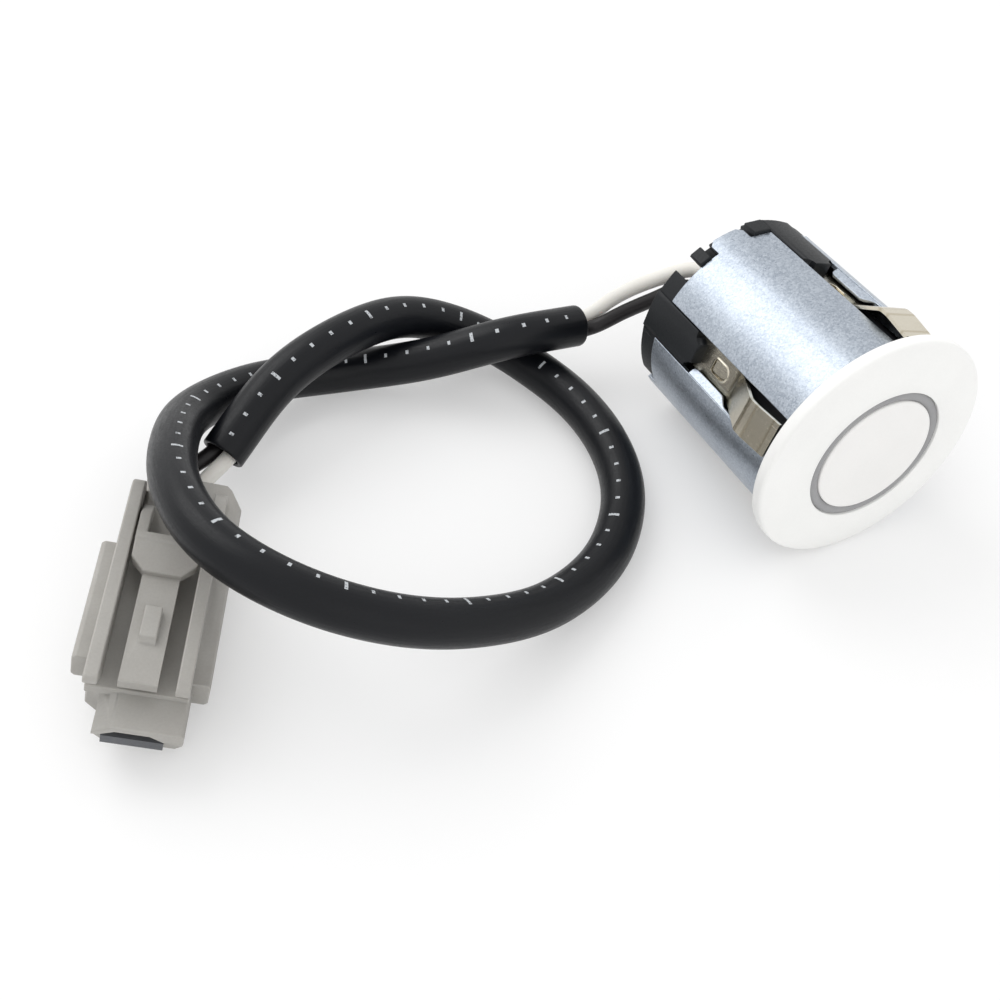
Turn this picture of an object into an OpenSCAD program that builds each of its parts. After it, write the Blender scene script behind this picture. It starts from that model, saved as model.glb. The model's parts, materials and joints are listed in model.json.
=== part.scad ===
// Ultrasonic parking sensor with a clipped head, a sleeved two-wire pigtail and a small latching connector

/* [Head] */
// Outside diameter of the steel sleeve
sleeve_d = 22; // [20:0.5:24]
// Overhang of the front flange past the sleeve
flange_lip = 1.6; // [1.4:0.1:2]
// Thickness of the front flange at its face
flange_t = 2; // [1.8:0.1:2.4]
// Depth from the back of the flange to the rear face
head_depth = 23; // [22:0.5:26]
// Diameter of the round membrane in the face
disc_d = 12.75; // [11.5:0.25:13]
// Width of the soft ring around the membrane
ring_w = 1; // [0.8:0.05:1.3]

/* [Sleeve and clips] */
// Thickness of the sleeve sheet
sheet = 0.5; // [0.4:0.05:0.6]
// Width of each lengthwise slot in the sleeve
slot_w = 4.3; // [4:0.1:4.6]
// Thickness of the spring clip strip
clip_t = 0.35; // [0.3:0.05:0.4]
// Free space on each side of a spring clip in its slot
clip_gap = 0.3; // [0.2:0.05:0.4]

/* [Pigtail] */
// Outside diameter of the insulating sleeve around the wires
tube_d = 4.5; // [4:0.1:4.6]
// Wall of the insulating sleeve
tube_wall = 0.5; // [0.4:0.05:0.6]

/* [Connector] */
// Width across the side plates of the connector
conn_w = 11.8; // [11.4:0.1:12.4]
// Length of the connector body behind the front end of its latch
conn_l = 24.5; // [23:0.5:26]
// Distance between the two wires in the connector
pitch = 2.7; // [2.5:0.1:2.8]
// Clearance around the pieces that slide into the connector
fit_gap = 0.03; // [0.02:0.01:0.05]

/* [Hidden] */
$fn = 72;
// Small overlap between the solids of one piece
join = 0.1;
// Reach of a cutting tool past the solid it cuts
past = 1;

// Radii of the head
sleeve_r = sleeve_d / 2;
sheet_r = sleeve_r - sheet;
flange_r = sleeve_r + flange_lip;
face_part = 5 / 7;
face_r = flange_r * face_part;
barrel_gap = 1.05;
barrel_r = sheet_r - barrel_gap;
flat_cut = 0.15;
flat_r = barrel_r - flat_cut;
clip_r = flat_r + clip_t;
disc_r = disc_d / 2;
ring_r = disc_r + ring_w;
ring_lip = 0.65;
ring_lip_r = disc_r - ring_lip;
stop_w = 1;
stop_r = ring_r - stop_w;
barrel_wall = 1.25;
cavity_r = barrel_r - barrel_wall;
cap_step = 0.15;
cap_r = sleeve_r - cap_step;
cap_wall = 1.85;
cap_bore_r = cap_r - cap_wall;
groove_gap = 0.05;
groove_part = 0.35;
groove_d = flange_t * groove_part;

// Levels of the head along its axis, counted forward from the back of the flange
face_z = flange_t;
rim_part = 0.62;
rim_z = flange_t * rim_part;
// Curve of the flange between face and rim, as parts of its width and of its fall
dome = [[0.4, 0.16], [0.7, 0.46], [0.9, 0.76]];
cup_l = 8.5;
cup_wall = 0.9;
cup_front = 0.8;
cup_edge = 0.15;
ring_sink = 0.05;
ring_floor = 0.5;
stop_t = 1;
cup_back = face_z - cup_l;
ring_back = cup_back - ring_floor;
stop_back = ring_back - stop_t;
board_t = 1;
board_back = stop_back - board_t;
cap_back = -head_depth;
cap_l = 4;
cap_front = cap_back + cap_l;
rim_l = 2.3;
sleeve_back = cap_back + rim_l;
tongue_short = 0.4;
tongue_back = cap_back + tongue_short;
pot_sink = 1.5;
pot_back = cap_back + pot_sink;
pad_l = 4.4;
pad_front = cap_front + pad_l;

// Slots, tongues and the parts that line up with them, as angles about the head axis
slots = [70.5, 160.5, 250.5, 340.5];
tongues = [36.3, 104.7, 216.3, 284.7];
tongue_deg = 20;
tongue_gap_deg = 1.5;
notch_deg = 131;
notch_w = 1.9;
relief_degs = [116.4, 204.6, 296.4, 24.6];
relief_w = 0.9;
lug_degs = [87.6, 122.4];
lug_ws = [2, 1.3];
lug_h = 0.35;
tongue_cut = 0.6;

// Spring clips
clip_w = slot_w - 2 * clip_gap;
clip_bend_z = -9.4;
clip_knee_z = -4.8;
clip_crease_z = -3.7;
clip_fall_z = -1.4;
clip_end_z = -0.7;
clip_shy = 0.35;
clip_fall = 0.35;
clip_curl = 0.1;
clip_knee_r = flange_r - clip_shy;
clip_fall_r = clip_knee_r - clip_fall;
clip_end_r = clip_fall_r - clip_curl;
flat_past = 2;
clip_hole_z = -11.4;
clip_hole_r = 0.75;
clip_hole_l = 1.5;
peg_gap = 0.2;
peg_h = 0.3;
pocket_d = 0.3;
pocket_rim = 0.3;
pocket_r = flange_r - pocket_rim;

// Folded lips along the slots
lip_h = 0.95;
lip_t = 0.4;
lip_lean = 55;
lip_root = 0.1;
lip_in = 0.15;
lip_gap = 0.1;
lip_short = 0.4;
lip_round = 0.4;
lip_taper = [[0.5, 0.8], [0.25, 1.4], [0.15, 3.6], [-lip_root, 3.9]];
lip_back = pad_front + lip_gap;
lip_front = clip_bend_z - lip_short;
lip_x = sqrt(pow(sleeve_r - sheet / 2, 2) - pow(slot_w / 2, 2));
lip_y = slot_w / 2 + lip_in;
// Side of each slot that carries a lip, so that the two side panels have them
lip_hands = [-1, 1, -1, 1];

// Pads of the rear cap
pad_gap = 0.1;
pad_w = slot_w - 2 * pad_gap;
scallop_r = 1;

// Inner parts
piezo_r = 3.2;
piezo_t = 0.4;
piezo_z = face_z - cup_front - piezo_t;
felt_r = disc_r - cup_wall - groove_gap;
felt_t = 3;
lead_r = 0.2;
lead_x = 1.6;
cap_can_r = 2;
cap_can_l = 5;
cap_can_at = [2.6, -2.4];
pot_fit = 0.02;

// The head lies on the rim of its flange and on one tongue of its sleeve
tongue_low_deg = 4.7;
tilt = atan((flange_r - sleeve_r * cos(tongue_low_deg)) / -tongue_back);
head_z = flange_r * cos(tilt);
front_reach = face_z * cos(tilt) + face_r * sin(tilt);
rear_reach = head_depth * cos(tilt) + cap_r * sin(tilt);
head_y = (front_reach - rear_reach) / 2;

// Wires
wire_play = 0.3;
wire_d = (tube_d - 2 * tube_wall - wire_play) / 2;
wire_r = wire_d / 2;
wire_part = 0.04;
wire_off = wire_r + wire_part;
root_in = 1.3;
root_r = cavity_r - root_in;
white_deg = 122;
black_deg = 141;

// Connector, with the latch front end near y 0, the nose towards -y and the wires towards +y
yaw = -27;
roll = 12;
sole_w = 3;
conn_at = [-71.65, -6.2, sole_w * sin(roll)];
half_w = conn_w / 2;
rail_x = 3.7;
rail_w = 1.2;
body_w = rail_x + rail_w / 2;
sole_z = 1.6;
ledge_z = 2.8;
ledge_low = 0.2;
ledge_cut = 0.3;
ledge_y = [3.9, 2.9];
collar_w = 5.8;
collar_in = 3.3;
collar_cut = 1.2;
collar_y = 16.4;
front_y = 1.2;
body_y = 2.2;
deck_z = 6;
deck_t = 1.1;
collar_z = 7;
nose_w = 3.75;
nose_x = 0.75;
nose_y = -2.1;
nose_z0 = 1.1;
nose_z1 = 5.5;
facet_x = -1.5;
nose_cut = 0.6;
nose_slope = 1.1;
nose_edge = 0.25;
jaw_back = 1.3;
jaw_z = 4.1;
mouth_w = 2.75;
mouth_x = 0.3;
mouth_z0 = 1.9;
mouth_z1 = 4.75;
mouth_y = 12;
mouth_slope = 0.75;
mouth_facet = 1.4;
rail_z = 9.5;
rail_y0 = -0.3;
rail_y1 = 22.4;
rail_foot = 1;
rail_tip = 0.8;
rail_under = 2.3;
rail_round = [[0, 2.2], [0.35, 1.1], [1.1, 0.35], [2.2, 0]];
rail_cut = 0.3;
strip_w = 1.6;
strip_y0 = 0.6;
strip_z0 = 7.3;
strip_z1 = 8.5;
strip_y = 12;
strip_cut = 0.15;
nub_w = 0.75;
nub_ramp = 0.45;
nub_y0 = 4.3;
nub_y1 = 7.9;
nub_h = 0.8;
pad_x = 2.85;
pad_y0 = 11.5;
pad_y1 = 15;
pad_z0 = 8.3;
pad_z1 = 10;
pad_cut = 1.2;
pad_fall = 1;
pad_ridge = 0.6;
pad_step = 0.25;
leg_x = 2.4;
leg_w = 1;
leg_y = 19.8;
leg_t = 1.2;
leg_run = 2.6;
leg_sag = 0.5;
leg_root = 1.3;
leg_round = 0.4;
wire_z = 3.9;
barrel_in = 1.5;
barrel_y0 = mouth_y + barrel_in;
barrel_y1 = 18;
barrel_end = 0.5;
crimp_t = 0.2;
crimp_r = wire_r + crimp_t;
seal_y0 = 18.4;
seal_in = 0.5;
seal_y1 = conn_l - seal_in;
seal_part = 0.05;
seal_r = pitch / 2 - seal_part;
seal_rib = 0.15;
seal_step = 0.5;
lock_z = 3;
lock_w = 2.6;
lock_y0 = -1.5;
lock_y1 = 8;
box_w = 1.3;
box_z1 = 4.2;
box_wall = 0.2;
box_y0 = -0.6;
box_y1 = 9;

// Course of the insulating sleeve, from the head end to the connector end
course_d = 4.5;
tube_lift = (tube_d - course_d) / 2;
course = [
    [-13.4, 20.7, 6.5], [-21.9, 20.6, 7.7], [-30.1, 23.8, 4.7], [-38.5, 27.5, 2.7],
    [-47.7, 27.7, 4.2], [-55.6, 23.3, 7.3], [-59.4, 16.2, 11.1], [-61.4, 8, 14],
    [-60.6, -0.2, 15.3], [-55.9, -6.8, 14.2], [-48.9, -10.4, 11], [-40.9, -11.1, 7],
    [-32.4, -9.9, 3.7], [-24.2, -6.1, 2.4], [-18.4, 0.8, 2.3], [-16.4, 9.9, 2.3],
    [-18.2, 19.4, 2.3], [-22.9, 26.5, 3.8], [-30.3, 28.4, 7.2], [-38.5, 26, 9.2],
    [-46.8, 22.9, 8.6], [-54.6, 18.3, 5.4]
];
tube_path = [for (p = course) p + [0, 0, tube_lift]];
tube_sides = 12;
wire_sides = 8;

// Free lengths of the two wires between the head and their sleeve
white_drop = [[-6.2, 17.2, 13.6], [-9.2, 20.6, 9.2]];
black_drop = [[-6.5, 15.5, 12.7], [-9.3, 18.8, 8.4]];

// Place of a head point and of a connector point in the common frame
function head_pt(p) = [
    p[0],
    p[1] * sin(tilt) - p[2] * cos(tilt) + head_y,
    p[1] * cos(tilt) + p[2] * sin(tilt) + head_z
];
function rolled(p) = [p[0] * cos(roll) + p[2] * sin(roll), p[1], p[2] * cos(roll) - p[0] * sin(roll)];
function yawed(p) = [p[0] * cos(yaw) - p[1] * sin(yaw), p[0] * sin(yaw) + p[1] * cos(yaw), p[2]];
function conn_pt(p) = yawed(rolled(p)) + conn_at;

// Rings along a path
function unit(v) = v / norm(v);
function heading(p, i) = unit(p[min(i + 1, len(p) - 1)] - p[max(i - 1, 0)]);
function side_of(t) = unit(cross(t, [0, 0, 1]));
function around(t, a) = cos(a) * side_of(t) + sin(a) * cross(side_of(t), t);
function ring_of(p, i, r, n) = [
    for (k = [0 : n - 1]) p[i] + r * around(heading(p, i), 360 * k / n)
];
function skin(p, r, n) = [for (i = [0 : len(p) - 1]) each ring_of(p, i, r, n)];
function walls(rings, n, from) = [
    for (i = [0 : rings - 2], k = [0 : n - 1])
        [
            from + i * n + k,
            from + i * n + (k + 1) % n,
            from + (i + 1) * n + (k + 1) % n,
            from + (i + 1) * n + k
        ]
];
function flipped(faces) = [for (f = faces) [f[3], f[2], f[1], f[0]]];

// The pair of wires turns half round on its way through the sleeve
function in_tube(turn) = [
    for (i = [0 : len(tube_path) - 1])
        tube_path[i] + wire_off * around(heading(tube_path, i), turn + 180 * i / (len(tube_path) - 1))
];
function wire_head(deg) = [
    for (z = [board_back, cap_back - wire_d / 2]) head_pt([root_r * cos(deg), root_r * sin(deg), z])
];
function tube_mouth(turn) = [in_tube(turn)[0] - wire_d * heading(tube_path, 0)];
function wire_tail(x) = [for (y = [conn_l + wire_d, barrel_y0 + barrel_end]) conn_pt([x, y, wire_z])];
function wire_path(deg, drop, turn, x) = concat(
    wire_head(deg), drop, tube_mouth(turn), in_tube(turn), wire_tail(x)
);
white_path = wire_path(white_deg, white_drop, 0, pitch / 2);
black_path = wire_path(black_deg, black_drop, 180, -pitch / 2);

// One solid rod swept along a path
module rod(path, r, n) {
    last = (len(path) - 1) * n;
    polyhedron(
        skin(path, r, n),
        concat(
            flipped(walls(len(path), n, 0)),
            [[for (k = [0 : n - 1]) k]],
            [[for (k = [n - 1 : -1 : 0]) last + k]]
        )
    );
}

// One hollow hose swept along a path
module hose(path, r, bore, n) {
    rings = len(path);
    count = rings * n;
    last = (rings - 1) * n;
    near = [for (k = [0 : n - 1]) [k, (k + 1) % n, count + (k + 1) % n, count + k]];
    far = [
        for (k = [0 : n - 1])
            [last + k, last + (k + 1) % n, count + last + (k + 1) % n, count + last + k]
    ];
    polyhedron(
        concat(skin(path, r, n), skin(path, bore, n)),
        concat(flipped(walls(rings, n, 0)), walls(rings, n, count), near, flipped(far))
    );
}

module place_head() {
    translate([0, head_y, head_z])
        rotate([90 - tilt, 0, 0])
            children();
}

module place_conn() {
    translate(conn_at)
        rotate([0, 0, yaw])
            rotate([0, roll, 0])
                children();
}

// Wedge of the space around the head axis
module wedge(mid, deg, z0, z1) {
    reach = 2 * flange_r;
    translate([0, 0, z0])
        linear_extrude(z1 - z0)
            polygon([
                [0, 0],
                [reach * cos(mid - deg / 2), reach * sin(mid - deg / 2)],
                [reach * cos(mid + deg / 2), reach * sin(mid + deg / 2)]
            ]);
}

// Round ring between two radii and two levels
module band(r0, r1, z0, z1) {
    translate([0, 0, z0])
        difference() {
            cylinder(h = z1 - z0, r = r1);
            translate([0, 0, -past])
                cylinder(h = z1 - z0 + 2 * past, r = r0);
        }
}

// Lengthwise block at an angle, from one radius to another
module spoke(deg, r0, r1, w, z0, z1) {
    rotate([0, 0, deg])
        translate([r0, -w / 2, z0])
            cube([r1 - r0, w, z1 - z0]);
}

// Profile in the radius and length plane, given width and turned to an angle
module strip_at(deg, w, points) {
    rotate([0, 0, deg])
        translate([0, w / 2, 0])
            rotate([90, 0, 0])
                linear_extrude(w)
                    polygon(points);
}

// D-shaped opening of a clip, as a block through the strip
module clip_window(deg, gap, r0, r1) {
    rotate([0, 0, deg])
        translate([r0, 0, clip_hole_z])
            rotate([0, 90, 0])
                linear_extrude(r1 - r0)
                    union() {
                        circle(clip_hole_r - gap);
                        translate([0, gap - clip_hole_r])
                            square([clip_hole_l - gap, 2 * (clip_hole_r - gap)]);
                    }
}

module front_housing() {
    color([0.9, 0.9, 0.88])
        place_head() {
            difference() {
                rotate_extrude()
                    polygon([
                        [ring_r, face_z],
                        [face_r, face_z],
                        for (d = dome)
                            [face_r + d[0] * (flange_r - face_r), face_z - d[1] * (face_z - rim_z)],
                        [flange_r, rim_z],
                        [flange_r, 0],
                        [sleeve_r + groove_gap, 0],
                        [sleeve_r + groove_gap, groove_d],
                        [sheet_r - groove_gap, groove_d],
                        [sheet_r - groove_gap, 0],
                        [barrel_r, 0],
                        [barrel_r, cap_front],
                        [cavity_r, cap_front],
                        [cavity_r, stop_back],
                        [stop_r, stop_back],
                        [stop_r, ring_back],
                        [ring_r, ring_back]
                    ]);
                for (a = slots) {
                    spoke(a, sleeve_r + groove_gap, pocket_r, slot_w, -past, pocket_d);
                    spoke(a, flat_r, sleeve_r, slot_w, cap_front - past, clip_bend_z + flat_past);
                }
            }
            for (a = slots)
                clip_window(a, peg_gap, flat_r - join, flat_r + peg_h);
        }
}

module decoupling_ring() {
    color([0.5, 0.5, 0.52])
        place_head()
            rotate_extrude()
                polygon([
                    [disc_r, face_z - ring_sink],
                    [ring_r, face_z - ring_sink],
                    [ring_r, ring_back],
                    [ring_lip_r, ring_back],
                    [ring_lip_r, cup_back],
                    [disc_r, cup_back]
                ]);
}

module membrane_cup() {
    color([0.92, 0.92, 0.9])
        place_head()
            rotate_extrude()
                polygon([
                    [0, face_z],
                    [disc_r - cup_edge, face_z],
                    [disc_r, face_z - cup_edge],
                    [disc_r, cup_back],
                    [disc_r - cup_wall, cup_back],
                    [disc_r - cup_wall, face_z - cup_front],
                    [0, face_z - cup_front]
                ]);
}

module piezo_disc() {
    color([0.75, 0.7, 0.55])
        place_head()
            translate([0, 0, piezo_z])
                cylinder(h = piezo_t, r = piezo_r);
}

module absorber_felt() {
    color([0.75, 0.73, 0.68])
        place_head()
            translate([0, 0, piezo_z - felt_t])
                difference() {
                    cylinder(h = felt_t, r = felt_r);
                    for (x = [-lead_x, lead_x])
                        translate([x, 0, -past])
                            cylinder(h = felt_t + 2 * past, r = lead_r + fit_gap);
                }
}

module terminal_board() {
    color([0.12, 0.4, 0.22])
        place_head()
            translate([0, 0, board_back])
                difference() {
                    cylinder(h = board_t, r = cavity_r - groove_gap);
                    for (x = [-lead_x, lead_x])
                        translate([x, 0, -past])
                            cylinder(h = board_t + 2 * past, r = lead_r + fit_gap);
                }
}

module capacitor() {
    color([0.2, 0.22, 0.3])
        place_head()
            translate([cap_can_at[0], cap_can_at[1], board_back - cap_can_l])
                cylinder(h = cap_can_l, r = cap_can_r);
}

module piezo_lead(x) {
    color([0.75, 0.45, 0.25])
        place_head()
            translate([x, 0, board_back])
                cylinder(h = piezo_z - board_back, r = lead_r);
}

module piezo_lead_hot() {
    piezo_lead(lead_x);
}

module piezo_lead_ground() {
    piezo_lead(-lead_x);
}

module potting() {
    color([0.14, 0.14, 0.15])
        place_head()
            difference() {
                union() {
                    translate([0, 0, cap_front - join])
                        cylinder(h = board_back - cap_front + join, r = cavity_r);
                    translate([0, 0, pot_back])
                        cylinder(h = cap_front - pot_back, r = cap_bore_r);
                }
                translate([cap_can_at[0], cap_can_at[1], board_back - cap_can_l])
                    cylinder(h = cap_can_l + past, r = cap_can_r);
                for (a = [white_deg, black_deg])
                    translate([root_r * cos(a), root_r * sin(a), pot_back - past])
                        cylinder(h = board_back - pot_back + 2 * past, r = wire_r + pot_fit);
            }
}

module slot_lip(a, hand) {
    rotate([0, 0, a])
        translate([lip_x, hand * lip_y, 0])
            rotate([0, 0, hand * lip_lean])
                strip_at(0, lip_t, [
                    [lip_root, lip_back],
                    [lip_round - lip_h, lip_back],
                    [-lip_h, lip_back + lip_round],
                    [-lip_h, lip_front],
                    for (d = lip_taper)
                        [-d[0], lip_front + d[1]]
                ]);
}

module tongue(a) {
    half = sleeve_r * sin(tongue_deg / 2);
    intersection() {
        band(sheet_r, sleeve_r, tongue_back, sleeve_back + join);
        rotate([0, 0, a])
            rotate([90, 0, 90])
                linear_extrude(flange_r)
                    polygon([
                        [-half, sleeve_back + past],
                        [-half, tongue_back + tongue_cut],
                        [tongue_cut - half, tongue_back],
                        [half - tongue_cut, tongue_back],
                        [half, tongue_back + tongue_cut],
                        [half, sleeve_back + past]
                    ]);
    }
}

module steel_sleeve() {
    color([0.66, 0.68, 0.71])
        place_head() {
            difference() {
                band(sheet_r, sleeve_r, sleeve_back, groove_d);
                for (a = slots)
                    spoke(a, sheet_r - 2 * sheet, flange_r, slot_w, sleeve_back - past, 0);
            }
            for (a = tongues)
                tongue(a);
            for (i = [0 : len(slots) - 1])
                slot_lip(slots[i], lip_hands[i]);
        }
}

module spring_clip(a) {
    color([0.6, 0.58, 0.52])
        place_head()
            difference() {
                strip_at(a, clip_w, [
                    [flat_r, cap_front],
                    [clip_r, cap_front],
                    [clip_r, clip_bend_z],
                    [clip_knee_r, clip_knee_z],
                    [clip_knee_r, clip_crease_z],
                    [clip_fall_r, clip_fall_z],
                    [clip_end_r, clip_end_z],
                    [clip_end_r - clip_t, clip_end_z],
                    [clip_fall_r - clip_t, clip_fall_z],
                    [clip_knee_r - clip_t, clip_crease_z - clip_t / 4],
                    [clip_knee_r - clip_t, clip_knee_z + clip_t / 4],
                    [flat_r, clip_bend_z + clip_t / 4]
                ]);
                clip_window(a, 0, flat_r - past, clip_r + past);
            }
}

module spring_clip_1() {
    spring_clip(slots[0]);
}

module spring_clip_2() {
    spring_clip(slots[1]);
}

module spring_clip_3() {
    spring_clip(slots[2]);
}

module spring_clip_4() {
    spring_clip(slots[3]);
}

module cap_pad(a) {
    difference() {
        intersection() {
            spoke(a, clip_r, sleeve_r + past, pad_w, cap_back, pad_front);
            translate([0, 0, cap_back])
                cylinder(h = head_depth, r = sleeve_r);
        }
        for (hand = [-1, 1])
            rotate([0, 0, a])
                translate([clip_r - past, hand * pad_w / 2, pad_front])
                    rotate([0, 90, 0])
                        cylinder(h = sleeve_r, r = scallop_r);
    }
}

module rear_cap() {
    color([0.15, 0.16, 0.17])
        place_head()
            difference() {
                union() {
                    band(cap_bore_r, sheet_r - groove_gap, cap_back, cap_front);
                    band(cap_bore_r, cap_r, cap_back, sleeve_back);
                    for (a = slots)
                        cap_pad(a);
                    for (i = [0, 1])
                        spoke(
                            lug_degs[i], cap_bore_r + join, sleeve_r + lug_h, lug_ws[i],
                            tongue_back, sleeve_back
                        );
                }
                for (a = tongues)
                    intersection() {
                        band(sheet_r - groove_gap, flange_r, cap_back - past, sleeve_back + join);
                        wedge(a, tongue_deg + 2 * tongue_gap_deg, cap_back - 2 * past, sleeve_back + past);
                    }
                spoke(notch_deg, cap_bore_r - past, flange_r, notch_w, cap_back - past, sleeve_back + join);
                for (a = relief_degs)
                    spoke(a, sheet_r - sheet, flange_r, relief_w, cap_back - past, sleeve_back + join);
            }
}

module pvc_sleeve() {
    color([0.14, 0.15, 0.16])
        hose(tube_path, tube_d / 2, tube_d / 2 - tube_wall, tube_sides);
}

module white_wire() {
    color([0.88, 0.86, 0.82])
        rod(white_path, wire_r, wire_sides);
}

module black_wire() {
    color([0.18, 0.16, 0.17])
        rod(black_path, wire_r, wire_sides);
}

// Cross-section of the connector, carried along its length
module along_conn(y0, y1) {
    translate([0, y1, 0])
        rotate([90, 0, 0])
            linear_extrude(y1 - y0)
                children();
}

// Upright profile of the connector, carried across its width
module across_conn(x0, x1) {
    translate([x0, 0, 0])
        rotate([90, 0, 90])
            linear_extrude(x1 - x0)
                children();
}

module body_section() {
    polygon([
        [-sole_w, 0],
        [sole_w, 0],
        [body_w, sole_z],
        [body_w, deck_z],
        [-body_w, deck_z],
        [-body_w, sole_z]
    ]);
}

module collar_section() {
    polygon([
        [-sole_w, 0],
        [sole_w, 0],
        [collar_w, ledge_z],
        [collar_w, collar_z - collar_cut],
        [collar_w - collar_cut, collar_z],
        [collar_cut / 2 - collar_in, collar_z],
        [-collar_in, collar_z - collar_cut / 2],
        [-collar_in, sole_z]
    ]);
}

// Ledge along one side of the body
module side_ledge(hand, y0) {
    along_conn(y0, collar_y + join)
        polygon([
            [hand * (body_w - join), ledge_z],
            [hand * (half_w - ledge_cut), ledge_z],
            [hand * half_w, ledge_z + ledge_cut],
            [hand * half_w, deck_z - ledge_low - ledge_cut],
            [hand * (half_w - ledge_cut), deck_z - ledge_low],
            [hand * (body_w - join), deck_z - ledge_low]
        ]);
}

module nose_section() {
    polygon([
        [nose_x - nose_w + nose_cut, nose_z0],
        [nose_x + nose_w - nose_cut, nose_z0],
        [nose_x + nose_w, nose_z0 + nose_cut],
        [nose_x + nose_w, nose_z1 - nose_edge],
        [nose_x + nose_w - nose_edge, nose_z1],
        [facet_x, nose_z1],
        [nose_x - nose_w, nose_z1 - nose_slope],
        [nose_x - nose_w, nose_z0 + nose_cut]
    ]);
}

module mouth_section() {
    polygon([
        [mouth_x - mouth_w, mouth_z0],
        [mouth_x + mouth_w, mouth_z0],
        [mouth_x + mouth_w, mouth_z1 - mouth_slope],
        [mouth_x + mouth_facet, mouth_z1],
        [mouth_x - mouth_facet, mouth_z1],
        [mouth_x - mouth_w, mouth_z1 - mouth_slope]
    ]);
}

module wire_bore(x, r, y0, y1) {
    translate([x, y0, wire_z])
        rotate([-90, 0, 0])
            cylinder(h = y1 - y0, r = r);
}

module lock_arm() {
    across_conn(-strip_w, strip_w)
        polygon([
            [strip_y0, strip_z0],
            [strip_y, strip_z0],
            [strip_y, strip_z1],
            [strip_y0 + strip_cut, strip_z1],
            [strip_y0, strip_z1 - strip_cut]
        ]);
    across_conn(-nub_w, nub_w)
        polygon([
            [nub_y0, strip_z1 - join],
            [nub_y1, strip_z1 - join],
            [nub_y1, strip_z1 + nub_h],
            [nub_y0 + nub_ramp, strip_z1 + nub_h]
        ]);
    intersection() {
        translate([0, 0, pad_z0])
            linear_extrude(pad_z1 - pad_z0)
                polygon([
                    [pad_cut - pad_x, pad_y0],
                    [pad_x - pad_cut, pad_y0],
                    [pad_x, pad_y0 + pad_cut],
                    [pad_x, pad_y1],
                    [-pad_x, pad_y1],
                    [-pad_x, pad_y0 + pad_cut]
                ]);
        across_conn(-pad_x, pad_x)
            polygon([
                [pad_y0, pad_z0],
                [pad_y1, pad_z0],
                [pad_y1, pad_z1],
                [pad_y1 - pad_ridge, pad_z1],
                [pad_y1 - pad_ridge - pad_step, pad_z1 - pad_step],
                [pad_y0, pad_z1 - pad_fall]
            ]);
    }
    for (x = [-leg_x, leg_x])
        across_conn(x - leg_w / 2, x + leg_w / 2)
            polygon([
                [pad_y1 - join, pad_z1 - leg_t],
                [pad_y1 - join, pad_z1],
                [pad_y1 + leg_run, pad_z1 - leg_sag],
                [leg_y - leg_round, collar_z + leg_t],
                [leg_y, collar_z + leg_t - leg_round],
                [leg_y, collar_z - join],
                [leg_y - leg_root, collar_z - join],
                [pad_y1 + leg_run - leg_round, pad_z1 - leg_sag - leg_t]
            ]);
}

module guard_rail(x) {
    across_conn(x - rail_w / 2, x + rail_w / 2)
        polygon([
            [rail_y0, rail_z - rail_tip],
            [rail_y0 + rail_under, deck_z],
            [rail_y0 + rail_under, deck_z - rail_foot],
            [rail_y1, deck_z - rail_foot],
            for (d = rail_round)
                [rail_y1 - d[0], rail_z - d[1]],
            [rail_y0 + rail_cut, rail_z],
            [rail_y0, rail_z - rail_cut]
        ]);
}

module connector_housing() {
    color([0.63, 0.62, 0.6])
        place_conn()
            difference() {
                union() {
                    along_conn(body_y, collar_y + join)
                        body_section();
                    along_conn(collar_y, conn_l)
                        collar_section();
                    along_conn(nose_y, body_y + join)
                        nose_section();
                    translate([-body_w, front_y, deck_z - deck_t])
                        cube([2 * body_w, body_y - front_y + join, deck_t]);
                    for (hand = [-1, 1])
                        guard_rail(hand * rail_x);
                    side_ledge(-1, ledge_y[0]);
                    side_ledge(1, ledge_y[1]);
                    lock_arm();
                }
                along_conn(nose_y - past, mouth_y)
                    mouth_section();
                translate([-half_w, nose_y - past, 0])
                    cube([2 * half_w, jaw_back + past, jaw_z]);
                translate([collar_w, conn_l, 0])
                    rotate([0, 0, 45])
                        cube([2 * collar_cut, 2 * collar_cut, 2 * (collar_z + past)], center = true);
                for (x = [-pitch / 2, pitch / 2]) {
                    wire_bore(x, crimp_r + fit_gap, mouth_y - past, seal_y0);
                    wire_bore(x, seal_r, seal_y0, conn_l + past);
                }
            }
}

module terminal_lock() {
    color([0.35, 0.36, 0.38])
        place_conn()
            translate([mouth_x - lock_w, lock_y0, mouth_z0])
                cube([2 * lock_w, lock_y1 - lock_y0, lock_z - mouth_z0]);
}

module contact(x) {
    color([0.8, 0.74, 0.55])
        place_conn() {
            translate([x - box_w / 2, box_y0, lock_z])
                difference() {
                    cube([box_w, box_y1 - box_y0, box_z1 - lock_z]);
                    translate([box_wall, -past, box_wall])
                        cube([box_w - 2 * box_wall, box_y1 - box_y0 - past, box_z1 - lock_z - 2 * box_wall]);
                }
            translate([x - box_w / 3, box_y1 - join, lock_z + box_wall])
                cube([box_w * 2 / 3, barrel_y0 - box_y1 + 2 * join, 2 * box_wall]);
            difference() {
                wire_bore(x, crimp_r, barrel_y0, barrel_y1);
                wire_bore(x, wire_r + fit_gap, barrel_y0 + barrel_end, barrel_y1 + past);
            }
        }
}

module terminal_white() {
    contact(pitch / 2);
}

module terminal_black() {
    contact(-pitch / 2);
}

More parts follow.
